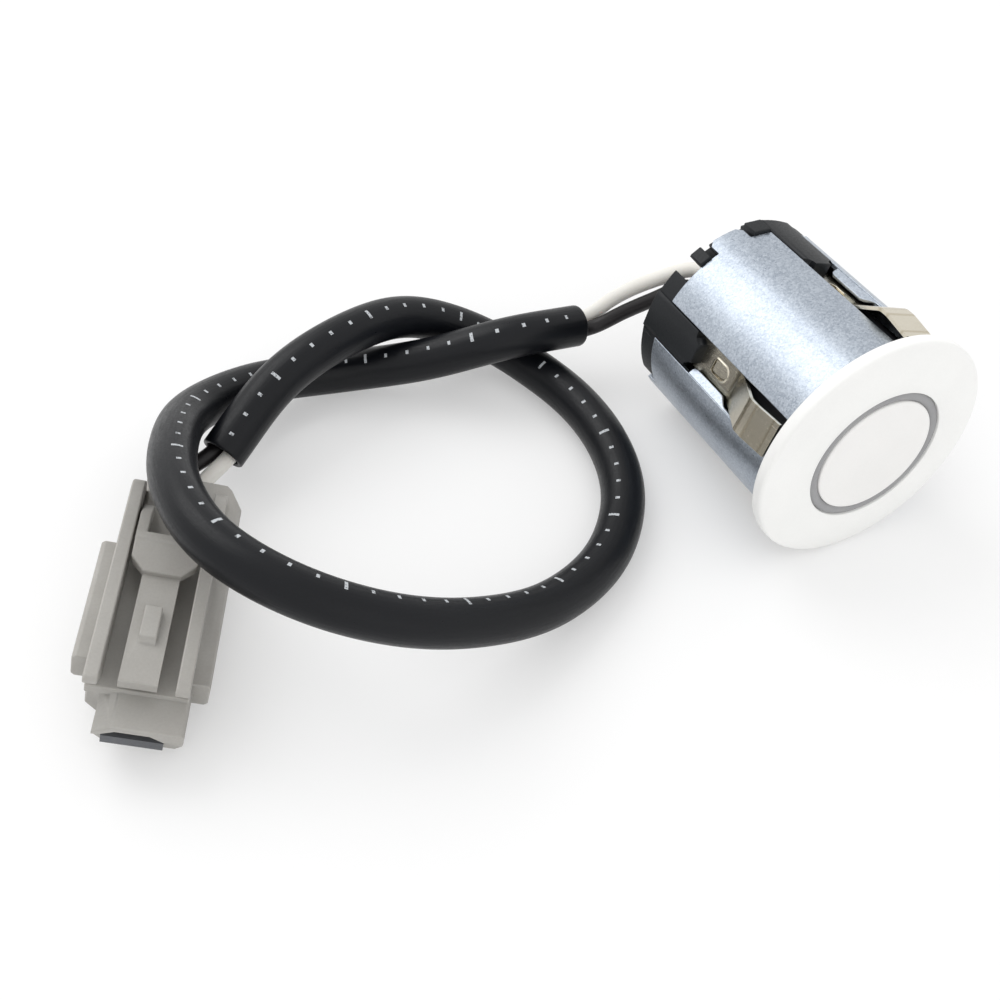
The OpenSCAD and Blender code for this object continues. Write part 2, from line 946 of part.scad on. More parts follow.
module wire_seal(x) {
    color([0.55, 0.2, 0.15])
        place_conn()
            translate([x, seal_y0, wire_z])
                rotate([-90, 0, 0])
                    rotate_extrude()
                        polygon([
                            [wire_r + fit_gap, 0],
                            [seal_r, 0],
                            for (k = [1, 3])
                                each [
                                    [seal_r, 2 * k * seal_step],
                                    [seal_r - seal_rib, (2 * k + 1) * seal_step],
                                    [seal_r, 2 * (k + 1) * seal_step]
                                ],
                            [seal_r, seal_y1 - seal_y0],
                            [wire_r + fit_gap, seal_y1 - seal_y0]
                        ]);
}

module wire_seal_white() {
    wire_seal(pitch / 2);
}

module wire_seal_black() {
    wire_seal(-pitch / 2);
}

front_housing();
decoupling_ring();
membrane_cup();
piezo_disc();
absorber_felt();
terminal_board();
capacitor();
piezo_lead_hot();
piezo_lead_ground();
potting();
steel_sleeve();
spring_clip_1();
spring_clip_2();
spring_clip_3();
spring_clip_4();
rear_cap();
pvc_sleeve();
white_wire();
black_wire();
connector_housing();
terminal_lock();
terminal_white();
terminal_black();
wire_seal_white();
wire_seal_black();
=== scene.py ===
"""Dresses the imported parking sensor: a round head, a sleeved two-wire lead and a small latching connector."""

import json
import logging
import math
from dataclasses import dataclass, field
from enum import Enum
from typing import Sequence

import bmesh
import bpy
from mathutils import Matrix, Vector

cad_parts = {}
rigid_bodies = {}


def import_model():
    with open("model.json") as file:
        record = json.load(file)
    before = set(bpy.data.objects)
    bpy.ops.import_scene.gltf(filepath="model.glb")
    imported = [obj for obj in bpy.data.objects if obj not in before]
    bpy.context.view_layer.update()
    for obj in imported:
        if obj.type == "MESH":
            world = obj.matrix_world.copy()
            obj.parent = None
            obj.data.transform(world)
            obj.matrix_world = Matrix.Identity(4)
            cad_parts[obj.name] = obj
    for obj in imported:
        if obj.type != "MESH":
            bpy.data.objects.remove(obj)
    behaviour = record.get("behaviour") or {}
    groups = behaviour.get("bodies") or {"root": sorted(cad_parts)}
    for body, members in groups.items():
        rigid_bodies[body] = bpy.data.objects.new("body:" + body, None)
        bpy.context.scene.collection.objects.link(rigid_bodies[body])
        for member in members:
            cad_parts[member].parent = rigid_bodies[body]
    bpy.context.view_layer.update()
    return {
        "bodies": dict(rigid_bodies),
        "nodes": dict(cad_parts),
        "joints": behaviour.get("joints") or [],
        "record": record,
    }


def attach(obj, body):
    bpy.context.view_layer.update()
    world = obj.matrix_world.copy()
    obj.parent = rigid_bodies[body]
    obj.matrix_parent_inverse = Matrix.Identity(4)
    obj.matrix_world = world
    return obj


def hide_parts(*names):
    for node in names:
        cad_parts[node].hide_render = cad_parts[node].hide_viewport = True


LOG = logging.getLogger("parking_sensor")
MM = 0.001
BODY = "root"
Socket = bpy.types.NodeSocket
Tree = bpy.types.NodeTree
Piece = bpy.types.Object
Work = bmesh.types.BMesh
Vert = bmesh.types.BMVert
Point = tuple[float, float, float]
Profile = list[tuple[float, float]]
Colour = tuple[int, int, int]
Outline = tuple[tuple[float, float], ...]
Cords = dict[str, tuple[Piece, list[Vector]]]


class Kind(Enum):
    """Kinds of node socket in the trees of this script."""

    GEOMETRY = "NodeSocketGeometry"
    NUMBER = "NodeSocketFloat"
    COUNT = "NodeSocketInt"
    SWITCH = "NodeSocketBool"
    VECTOR = "NodeSocketVector"
    MATERIAL = "NodeSocketMaterial"


class Net:
    """A node tree with short ways to add nodes and join their sockets."""

    def __init__(self, tree: Tree) -> None:
        """Wraps one node tree."""
        self.tree = tree

    def put(self, kind: str, inputs: dict | None = None, **settings: object) -> bpy.types.Node:
        """Adds a node.

        Args:
            kind: Blender's name of the node type.
            inputs: Values or output sockets for its inputs, by name or number.
            settings: Properties of the node itself.

        Returns:
            The new node.
        """
        node = self.tree.nodes.new(kind)
        for key, value in settings.items():
            setattr(node, key, value)
        for key, value in (inputs or {}).items():
            if isinstance(value, Socket):
                self.link(value, node.inputs[key])
            else:
                node.inputs[key].default_value = value
        return node

    def out(self, kind: str, inputs: dict | None = None, **settings: object) -> Socket:
        """Adds a node in the same way and returns its first output."""
        return self.put(kind, inputs, **settings).outputs[0]

    def link(self, source: Socket, target: Socket) -> None:
        """Joins an output socket to an input socket."""
        self.tree.links.new(source, target)

    def blend(self, part: object, a: object, b: object) -> Socket:
        """Mixes two colours by a part from 0 to 1 and returns the colour socket."""
        return self.put("ShaderNodeMix", {0: part, 6: a, 7: b}, data_type="RGBA").outputs[2]

    def span(self, value: object, a: float, b: float, to_a: float, to_b: float) -> Socket:
        """Maps a value from one range to another, clamped, and returns the socket."""
        return self.out("ShaderNodeMapRange", {0: value, 1: a, 2: b, 3: to_a, 4: to_b})

    def math(self, operation: str, a: object, b: object = 0.0) -> Socket:
        """Joins two values by a named operation and returns the socket."""
        return self.out("ShaderNodeMath", {0: a, 1: b}, operation=operation)

    def plus(self, a: object, b: object) -> Socket:
        """Adds two values."""
        return self.math("ADD", a, b)

    def minus(self, a: object, b: object) -> Socket:
        """Takes the second value from the first."""
        return self.math("SUBTRACT", a, b)

    def times(self, a: object, b: object) -> Socket:
        """Multiplies two values."""
        return self.math("MULTIPLY", a, b)

    def over(self, a: object, b: object) -> Socket:
        """Divides the first value by the second."""
        return self.math("DIVIDE", a, b)

    def noise(self, vector: Socket, scale: object, detail: float = 2.0, rough: float = 0.5) -> Socket:
        """Adds a noise texture and returns its value."""
        inputs = {"Vector": vector, "Scale": scale, "Detail": detail, "Roughness": rough}
        return self.out("ShaderNodeTexNoise", inputs)

    def attribute(self, name: str, output: str = "Fac") -> Socket:
        """Reads a named attribute of the mesh."""
        return self.put("ShaderNodeAttribute", attribute_name=name).outputs[output]


def new_tree(name: str, kind: str, inputs: dict[str, Kind], outputs: dict[str, Kind]) -> tuple[Net, dict, dict]:
    """Starts a node group with named sockets.

    Args:
        name: Name of the group.
        kind: Blender's name of the tree type.
        inputs: Names and kinds of its inputs.
        outputs: Names and kinds of its outputs.

    Returns:
        The tree, the sockets that bring its inputs, and the sockets that take its outputs.
    """
    tree = bpy.data.node_groups.new(name, kind)
    for key, sort in inputs.items():
        tree.interface.new_socket(key, in_out="INPUT", socket_type=sort.value)
    for key, sort in outputs.items():
        tree.interface.new_socket(key, in_out="OUTPUT", socket_type=sort.value)
    net = Net(tree)
    given = net.put("NodeGroupInput").outputs
    taken = net.put("NodeGroupOutput").inputs
    return net, {key: given[key] for key in inputs}, {key: taken[key] for key in outputs}


def linear(colour: Colour) -> tuple[float, float, float, float]:
    """Turns a colour written as 0 to 255 into the linear colour of a shader."""
    parts = [c / 255 for c in colour]
    return (*[p / 12.92 if p < 0.04045 else ((p + 0.055) / 1.055) ** 2.4 for p in parts], 1.0)


class Effects:
    """Shader node groups that several finishes share, each built once."""

    made: dict[str, Tree] = {}

    @classmethod
    def grain(cls) -> Tree:
        """Fine moulded or painted grain: a tone mask and a height."""
        if "grain" not in cls.made:
            sockets = {"Vector": Kind.VECTOR, "Size": Kind.NUMBER, "Contrast": Kind.NUMBER}
            results = {"Mask": Kind.NUMBER, "Height": Kind.NUMBER}
            net, given, taken = new_tree("grain", "ShaderNodeTree", sockets, results)
            noise = net.noise(given["Vector"], net.over(1.0, given["Size"]), 3.0, 0.6)
            spread = net.times(net.minus(noise, 0.5), given["Contrast"])
            mask = net.out("ShaderNodeClamp", {0: net.plus(spread, 0.5)})
            net.link(mask, taken["Mask"])
            net.link(noise, taken["Height"])
            cls.made["grain"] = net.tree
        return cls.made["grain"]

    @classmethod
    def cloud(cls) -> Tree:
        """Slow change of tone over a surface: a mask."""
        if "cloud" not in cls.made:
            sockets = {"Vector": Kind.VECTOR, "Size": Kind.NUMBER}
            net, given, taken = new_tree("cloud", "ShaderNodeTree", sockets, {"Mask": Kind.NUMBER})
            noise = net.noise(given["Vector"], net.over(1.0, given["Size"]))
            net.link(net.span(noise, 0.32, 0.68, 0.0, 1.0), taken["Mask"])
            cls.made["cloud"] = net.tree
        return cls.made["cloud"]


@dataclass
class Skin:
    """A material in the making: the place on the piece in millimetres, and colour, roughness and relief so far."""

    mapped: Socket
    colour: Socket
    rough: Socket
    height: Socket


@dataclass(frozen=True)
class Finish:
    """One surface finish: its two tones, gloss and fine relief, with lengths in millimetres."""

    name: str
    light: Colour
    dark: Colour
    rough: float
    rough_swing: float = 0.08
    grain: float = 0.25
    grain_contrast: float = 2.0
    relief: float = 0.006
    cloud: float = 6.0
    metallic: float = 0.0
    specular: float = 0.5
    coat: float = 0.0
    subsurface: float = 0.0
    depth: float = 0.6
    coat_rough: float = 0.12
    grain_share: float = 0.45

    def material(self) -> bpy.types.Material:
        """Builds the node material of this finish, once."""
        name = f"{self.name}_finish"
        known = bpy.data.materials.get(name)
        if known:
            return known
        made = bpy.data.materials.new(name)
        made.use_nodes = True
        net = Net(made.node_tree)
        coords = net.put("ShaderNodeTexCoord").outputs["Object"]
        mapped = net.out("ShaderNodeMapping", {0: coords, 3: (1 / MM, 1 / MM, 1 / MM)})
        inputs = {0: mapped, 1: self.grain, 2: self.grain_contrast}
        mask, height = net.put("ShaderNodeGroup", inputs, node_tree=Effects.grain()).outputs
        cloud = net.out("ShaderNodeGroup", {0: mapped, 1: self.cloud}, node_tree=Effects.cloud())
        part = net.plus(net.times(mask, self.grain_share), net.times(cloud, 1.0 - self.grain_share))
        colour = net.blend(part, linear(self.light), linear(self.dark))
        rough = net.span(mask, 0.0, 1.0, self.rough - self.rough_swing, self.rough + self.rough_swing)
        skin = Skin(mapped, colour, rough, height)
        self.detail(net, skin)
        inputs = {"Strength": 1.0, "Distance": self.relief * MM, "Height": skin.height}
        bump = net.out("ShaderNodeBump", inputs)
        shader = made.node_tree.nodes["Principled BSDF"]
        for key, socket in {"Base Color": skin.colour, "Roughness": skin.rough, "Normal": bump}.items():
            net.link(socket, shader.inputs[key])
        values = {
            "Metallic": self.metallic,
            "Specular IOR Level": self.specular,
            "Coat Weight": self.coat,
            "Coat Roughness": self.coat_rough,
        }
        if self.subsurface:
            values["Subsurface Weight"] = self.subsurface
            values["Subsurface Scale"] = self.depth * MM
            values["Subsurface Radius"] = (1.0, 0.9, 0.75)
        for key, value in values.items():
            shader.inputs[key].default_value = value
        return made

    def detail(self, net: Net, skin: Skin) -> None:
        """Adds what is particular to one finish; the plain finish adds nothing."""


@dataclass(frozen=True)
class PaintedFront(Finish):
    """White paint on a black moulding, with a soft paint line at the back of the flange."""

    bare: Colour = (40, 41, 46)
    wander: float = 0.14

    def detail(self, net: Net, skin: Skin) -> None:
        """Puts bare plastic where the paint mask of the mesh says so."""
        shift = net.times(net.minus(net.noise(skin.mapped, 1.1), 0.5), self.wander)
        part = net.span(net.plus(net.attribute("paint"), shift), 0.43, 0.57, 0.0, 1.0)
        skin.colour = net.blend(part, linear(self.bare), skin.colour)
        skin.rough = net.out("ShaderNodeMix", {0: part, 2: 0.5, 3: skin.rough})


@dataclass(frozen=True)
class ZincSheet(Finish):
    """Galvanised sheet with fine bright and dull crystals."""

    crystal: float = 0.17
    bright: Colour = (210, 217, 225)

    def detail(self, net: Net, skin: Skin) -> None:
        """Adds the crystals to tone, gloss and relief."""
        inputs = {"Vector": skin.mapped, "Scale": 1 / self.crystal, "Randomness": 1.0}
        cells = net.put("ShaderNodeTexVoronoi", inputs).outputs["Color"]
        tone = net.out("ShaderNodeSeparateColor", {0: cells})
        fleck = net.noise(skin.mapped, 3.2 / self.crystal)
        mask = net.span(net.plus(net.times(tone, 0.4), fleck), 0.4, 1.05, 0.0, 0.75)
        skin.colour = net.blend(mask, skin.colour, linear(self.bright))
        skin.rough = net.plus(skin.rough, net.times(net.minus(tone, 0.5), 0.1))
        skin.height = net.plus(net.times(tone, 0.35), fleck)


@dataclass(frozen=True)
class SpringStrip(Finish):
    """Rolled spring steel with fine lines along the strip and painted shade, warm and darker, at its bends."""

    crease_shade: Colour = (150, 134, 100)

    def detail(self, net: Net, skin: Skin) -> None:
        """Adds the rolling lines and the painted shade of the bends."""
        lines = net.noise(net.attribute("across", "Vector"), 1.0, 3.0)
        colour = net.blend(net.span(lines, 0.35, 0.7, 0.0, 0.3), skin.colour, linear(self.dark))
        # The bends' mask blends in a warm dark colour: painted shade in the creases of the bends.
        skin.colour = net.blend(net.times(net.attribute("bend"), 0.4), colour, linear(self.crease_shade))
        skin.rough = net.plus(skin.rough, net.span(lines, 0.3, 0.7, -0.02, 0.03))
        skin.height = lines


@dataclass(frozen=True)
class MarkedHose(Finish):
    """Soft black sleeve with faint draw lines and a row of plain printed length marks.

    The marks' step is in millimetres along the sleeve, and their place and half heights in radians round it.
    """

    ink: Colour = (196, 200, 204)
    step: float = 2.4
    turn: float = -1.9
    every: float = 5.0
    short: float = 0.1
    taller: float = 0.14
    share: float = 0.13

    def detail(self, net: Net, skin: Skin) -> None:
        """Adds the draw lines and the row of marks along the sleeve."""
        along = net.attribute("along")
        sides = net.put("ShaderNodeSeparateXYZ", {0: net.attribute("ring", "Vector")}).outputs
        draw = {"X": net.times(along, 0.06), "Y": sides[0], "Z": sides[1]}
        lines = net.noise(net.out("ShaderNodeCombineXYZ", draw), 7.0, 3.0)
        count = net.over(along, self.step)
        fifth = net.math("FRACT", net.over(net.math("FLOOR", count), self.every))
        half = net.plus(self.short, net.times(net.math("LESS_THAN", fifth, 0.1), self.taller))
        off = net.math("ABSOLUTE", net.minus(net.math("ARCTAN2", sides[1], sides[0]), self.turn))
        limits = (
            net.math("LESS_THAN", off, half),
            net.math("LESS_THAN", net.math("FRACT", count), self.share),
            net.span(net.noise(skin.mapped, 5.0), 0.34, 0.46, 0.25, 0.9),
            net.math("GREATER_THAN", along, self.step),
        )
        mark = limits[0]
        for limit in limits[1:]:
            mark = net.times(mark, limit)
        skin.colour = net.blend(mark, skin.colour, linear(self.ink))
        skin.rough = net.plus(skin.rough, net.span(lines, 0.3, 0.7, -0.04, 0.06))
        skin.height = net.plus(net.times(lines, 2.0), net.times(skin.height, 0.25))


@dataclass(frozen=True)
class Finishes:
    """All finishes of the sensor."""

    front: Finish = PaintedFront(
        "white_paint_on_plastic", (247, 247, 245), (242, 242, 240), 0.4, relief=0.004, coat=0.12
    )
    cup: Finish = Finish("painted_membrane", (243, 242, 240), (238, 237, 235), 0.42, relief=0.004, coat=0.1)
    ring: Finish = Finish("grey_silicone", (158, 158, 159), (146, 146, 148), 0.58, relief=0.008, grain=0.18)
    zinc: Finish = ZincSheet(
        "zinc_sheet", (158, 167, 178), (134, 143, 156), 0.36, metallic=1.0, relief=0.005, cloud=5.0
    )
    spring: Finish = SpringStrip(
        "spring_strip", (216, 210, 195), (204, 197, 180), 0.24, rough_swing=0.03, metallic=1.0, relief=0.0004
    )
    moulded: Finish = Finish(
        "black_moulding", (24, 27, 31), (16, 19, 22), 0.5, relief=0.01, grain=0.2, specular=0.32
    )
    hose: Finish = MarkedHose(
        "black_soft_sleeve", (14, 16, 21), (9, 11, 15), 0.36, relief=0.012, cloud=9.0, specular=0.26
    )
    white: Finish = Finish("white_insulation", (240, 238, 232), (232, 229, 221), 0.4, relief=0.006, subsurface=0.08)
    black: Finish = Finish("black_insulation", (30, 27, 29), (20, 18, 20), 0.38, relief=0.006, specular=0.35)
    nylon: Finish = Finish(
        "grey_nylon", (173, 171, 166), (160, 157, 152), 0.48, relief=0.008, grain=0.22, cloud=4.0, subsurface=0.12
    )
    # The lock's dark grey is partly its own nylon tone and partly painted shade for the dark region under the
    # connector's nose.
    lock: Finish = Finish("dark_nylon", (92, 94, 98), (76, 78, 82), 0.5)
    brass: Finish = Finish("tinned_brass", (206, 200, 178), (170, 160, 132), 0.3, metallic=1.0, relief=0.003)
    seal: Finish = Finish("seal_silicone", (150, 78, 60), (128, 62, 48), 0.55)
    resin: Finish = Finish("potting_resin", (34, 35, 38), (24, 25, 28), 0.3, relief=0.05, grain=1.1, coat=0.2)
    ceramic: Finish = Finish("piezo_ceramic", (206, 198, 176), (188, 178, 152), 0.5)
    felt: Finish = Finish("absorber_felt", (204, 198, 184), (168, 160, 144), 0.9, grain=0.12, relief=0.05)
    board: Finish = Finish("terminal_board", (40, 104, 62), (28, 82, 48), 0.38, coat=0.3)
    can: Finish = Finish("capacitor_can", (62, 68, 88), (48, 52, 70), 0.35)
    copper: Finish = Finish("copper_lead", (214, 148, 104), (176, 112, 72), 0.28, metallic=1.0)


@dataclass(frozen=True)
class Place:
    """Where a sub-assembly lies in the common frame, from its own millimetres."""

    at: Point
    turns: tuple[tuple[str, float], ...]

    def matrix(self) -> Matrix:
        """Gives the matrix from local millimetres to metres in the common frame."""
        made = Matrix.Translation(Vector(self.at) * MM)
        for axis, degrees in self.turns:
            made = made @ Matrix.Rotation(math.radians(degrees), 4, axis)
        return made @ Matrix.Scale(MM, 4)


def add_object(name: str, mesh: bpy.types.Mesh) -> Piece:
    """Links a new object for a mesh, at the origin."""
    made = bpy.data.objects.new(name, mesh)
    bpy.context.scene.collection.objects.link(made)
    return made


def from_bmesh(name: str, work: Work) -> Piece:
    """Turns mesh work into an object and frees the work."""
    mesh = bpy.data.meshes.new(name)
    work.to_mesh(mesh)
    work.free()
    return add_object(name, mesh)


def settle(piece: Piece) -> None:
    """Replaces a piece's mesh by the result of its modifiers and removes them."""
    graph = bpy.context.evaluated_depsgraph_get()
    done = piece.evaluated_get(graph)
    mesh = bpy.data.meshes.new_from_object(done, preserve_all_data_layers=True, depsgraph=graph)
    piece.modifiers.clear()
    piece.data = mesh


def soften(piece: Piece, width: float, degrees: float = 32.0, segments: int = 2) -> None:
    """Rounds a piece's sharp edges and evens its shading.

    Args:
        piece: The object to finish.
        width: Width of the rounding, in the units of its mesh.
        degrees: Edges sharper than this are rounded.
        segments: Steps of the rounding.
    """
    bevel = piece.modifiers.new("bevel", "BEVEL")
    bevel.width = width
    bevel.segments = segments
    bevel.limit_method = "ANGLE"
    bevel.angle_limit = math.radians(degrees)
    bevel.miter_outer = "MITER_ARC"
    settle(piece)
    even(piece)


def even(piece: Piece) -> None:
    """Shades a rounded piece smooth, its normals led by its large faces and its inner corners crisp."""
    shade(piece.data, 42.0)
    normals = piece.modifiers.new("normals", "WEIGHTED_NORMAL")
    normals.keep_sharp = True
    normals.weight = 80
    settle(piece)


def shade(mesh: bpy.types.Mesh, degrees: float = 35.0) -> None:
    """Shades a mesh smooth, with its edges past an angle kept sharp."""
    mesh.shade_smooth()
    mesh.set_sharp_from_angle(angle=math.radians(degrees))


def dress(piece: Piece, finish: Finish, nodes: Sequence[str]) -> Piece:
    """Gives a finished piece its material, attaches it to the body and hides the CAD nodes that it stands for.

    Args:
        piece: The piece, at the origin.
        finish: Its finish.
        nodes: CAD nodes that it replaces.

    Returns:
        The same piece.
    """
    piece.data.materials.clear()
    piece.data.materials.append(finish.material())
    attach(piece, BODY)
    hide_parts(*nodes)
    LOG.info("%s: %d faces for %s", piece.name, len(piece.data.polygons), ", ".join(nodes))
    return piece


def paint(frame: dict, coats: dict[str, Finish]) -> None:
    """Gives CAD nodes that stay their materials."""
    for name, finish in coats.items():
        node = frame["nodes"][name]
        node.data.materials.clear()
        node.data.materials.append(finish.material())
        LOG.info("%s: CAD node in %s", name, finish.name)


def thicken(piece: Piece, sheet: float, level: bool) -> None:
    """Gives a surface the thickness of its sheet, inwards, level also at its corners where asked."""
    solid = piece.modifiers.new("sheet", "SOLIDIFY")
    solid.thickness = sheet
    solid.offset = -1.0
    solid.use_even_offset = level
    settle(piece)


def band(work: Work, a: Sequence[Vert], b: Sequence[Vert], closed: bool = True) -> None:
    """Joins two rows of points by a band of faces.

    Args:
        work: The mesh of the points.
        a: The first row; a point on the axis may fill all of it.
        b: The second row, with as many points.
        closed: Whether the band runs all the way round.
    """
    count = len(a)
    for k in range(count if closed else count - 1):
        n = (k + 1) % count
        face = list(dict.fromkeys((a[k], a[n], b[n], b[k])))
        if len(face) > 2:
            work.faces.new(face)


def lathe(profile: Profile, steps: int) -> Work:
    """Turns a closed outline of radius and height about the Z axis.

    Args:
        profile: Points of the outline; a radius of zero lies on the axis.
        steps: Number of steps round the axis.

    Returns:
        The turned solid, with its faces outwards.
    """
    work = bmesh.new()
    turns = [2 * math.pi * k / steps for k in range(steps)]
    rings = []
    for radius, height in profile:
        if radius:
            rings.append([work.verts.new((radius * math.cos(a), radius * math.sin(a), height)) for a in turns])
        else:
            rings.append([work.verts.new((0, 0, height))] * steps)
    for a, b in zip(rings, rings[1:] + rings[:1]):
        band(work, a, b)
    bmesh.ops.recalc_face_normals(work, faces=work.faces)
    return work


def away(angle: float, middle: float) -> float:
    """Gives the way in degrees from a middle to an angle, the short way round."""
    return (angle - middle + 180) % 360 - 180


def between(a: Vector, b: Vector, start: float, end: float, t: float) -> Vector:
    """Mixes two points by a parameter that runs from a start to an end."""
    return a * ((end - t) / (end - start)) + b * ((t - start) / (end - start))


def ring_array_tree() -> Tree:
    """Builds the tree that repeats a piece round the Z axis."""
    inputs = {"Piece": Kind.GEOMETRY, "Count": Kind.COUNT, "Start": Kind.NUMBER, "Finish": Kind.MATERIAL}
    net, given, taken = new_tree("ring_array", "GeometryNodeTree", inputs, {"Pieces": Kind.GEOMETRY})
    points = net.out("GeometryNodePoints", {"Count": given["Count"]})
    index = net.out("GeometryNodeInputIndex")
    step = net.over(2 * math.pi, given["Count"])
    turn = net.plus(net.times(index, step), given["Start"])
    angles = net.out("ShaderNodeCombineXYZ", {"Z": turn})
    rotation = net.out("FunctionNodeEulerToRotation", {0: angles})
    inputs = {"Points": points, "Instance": given["Piece"], "Rotation": rotation}
    placed = net.out("GeometryNodeInstanceOnPoints", inputs)
    real = net.out("GeometryNodeRealizeInstances", {0: placed})
    done = net.out("GeometryNodeSetMaterial", {"Geometry": real, "Material": given["Finish"]})
    net.link(done, taken["Pieces"])
    return net.tree


def cord_tree() -> Tree:
    """Builds the tree that sweeps a round cord along a line of points, hollow or solid."""
    inputs = {
        "Path": Kind.GEOMETRY,
        "Radius": Kind.NUMBER,
        "Wall": Kind.NUMBER,
        "Sides": Kind.COUNT,
        "Hollow": Kind.SWITCH,
        "Finish": Kind.MATERIAL,
    }
    net, given, taken = new_tree("swept_cord", "GeometryNodeTree", inputs, {"Cord": Kind.GEOMETRY})
    curve = net.out("GeometryNodeMeshToCurve", {0: given["Path"]})
    curve = net.out("GeometryNodeSetCurveNormal", {0: curve}, mode="Z_UP")
    length = net.put("GeometryNodeSplineParameter").outputs["Length"]
    along = net.over(length, MM)
    inputs = {"Geometry": curve, "Name": "along", "Value": along}
    curve = net.out("GeometryNodeStoreNamedAttribute", inputs)
    inputs = {"Resolution": given["Sides"], "Radius": 1.0}
    circle = net.out("GeometryNodeCurvePrimitiveCircle", inputs)
    place = net.out("GeometryNodeInputPosition")
    inputs = {"Geometry": circle, "Name": "ring", "Value": place}
    circle = net.out("GeometryNodeStoreNamedAttribute", inputs, data_type="FLOAT_VECTOR")
    swell = net.out("GeometryNodeInputNamedAttribute", {"Name": "swell"}, data_type="FLOAT")
    half = net.times(given["Wall"], 0.5)
    middle = net.minus(given["Radius"], half)
    reach = net.times(half, swell)
    outer = net.plus(middle, reach)
    inner = net.minus(middle, reach)
    sweep = {"Curve": curve, "Profile Curve": circle}
    skin = net.out("GeometryNodeCurveToMesh", {**sweep, "Scale": outer})
    bore = net.out("GeometryNodeCurveToMesh", {**sweep, "Scale": inner})
    bore = net.out("GeometryNodeFlipFaces", {0: bore})
    both = net.put("GeometryNodeJoinGeometry", {0: skin})
    net.link(bore, both.inputs[0])
    hose = net.out("GeometryNodeMergeByDistance", {"Geometry": both.outputs[0], "Distance": 1e-7})
    rod = net.out("GeometryNodeCurveToMesh", {**sweep, "Scale": outer, "Fill Caps": True})
    inputs = {"Switch": given["Hollow"], "False": rod, "True": hose}
    chosen = net.out("GeometryNodeSwitch", inputs, input_type="GEOMETRY")
    smooth = net.out("GeometryNodeSetShadeSmooth", {"Geometry": chosen})
    real = net.out("GeometryNodeRealizeInstances", {0: smooth})
    done = net.out("GeometryNodeSetMaterial", {"Geometry": real, "Material": given["Finish"]})
    net.link(done, taken["Cord"])
    return net.tree


def run_tree(piece: Piece, tree: Tree, values: dict[str, object]) -> None:
    """Runs a Geometry Nodes tree on a piece and keeps its result as a plain mesh.

    Args:
        piece: The object that brings the tree's first input.
        tree: The tree.
        values: Its other inputs, by name.
    """
    modifier = piece.modifiers.new(tree.name, "NODES")
    modifier.node_group = tree
    for item in tree.interface.items_tree:
        if item.in_out == "INPUT" and item.name in values:
            modifier[item.identifier] = values[item.name]
    settle(piece)


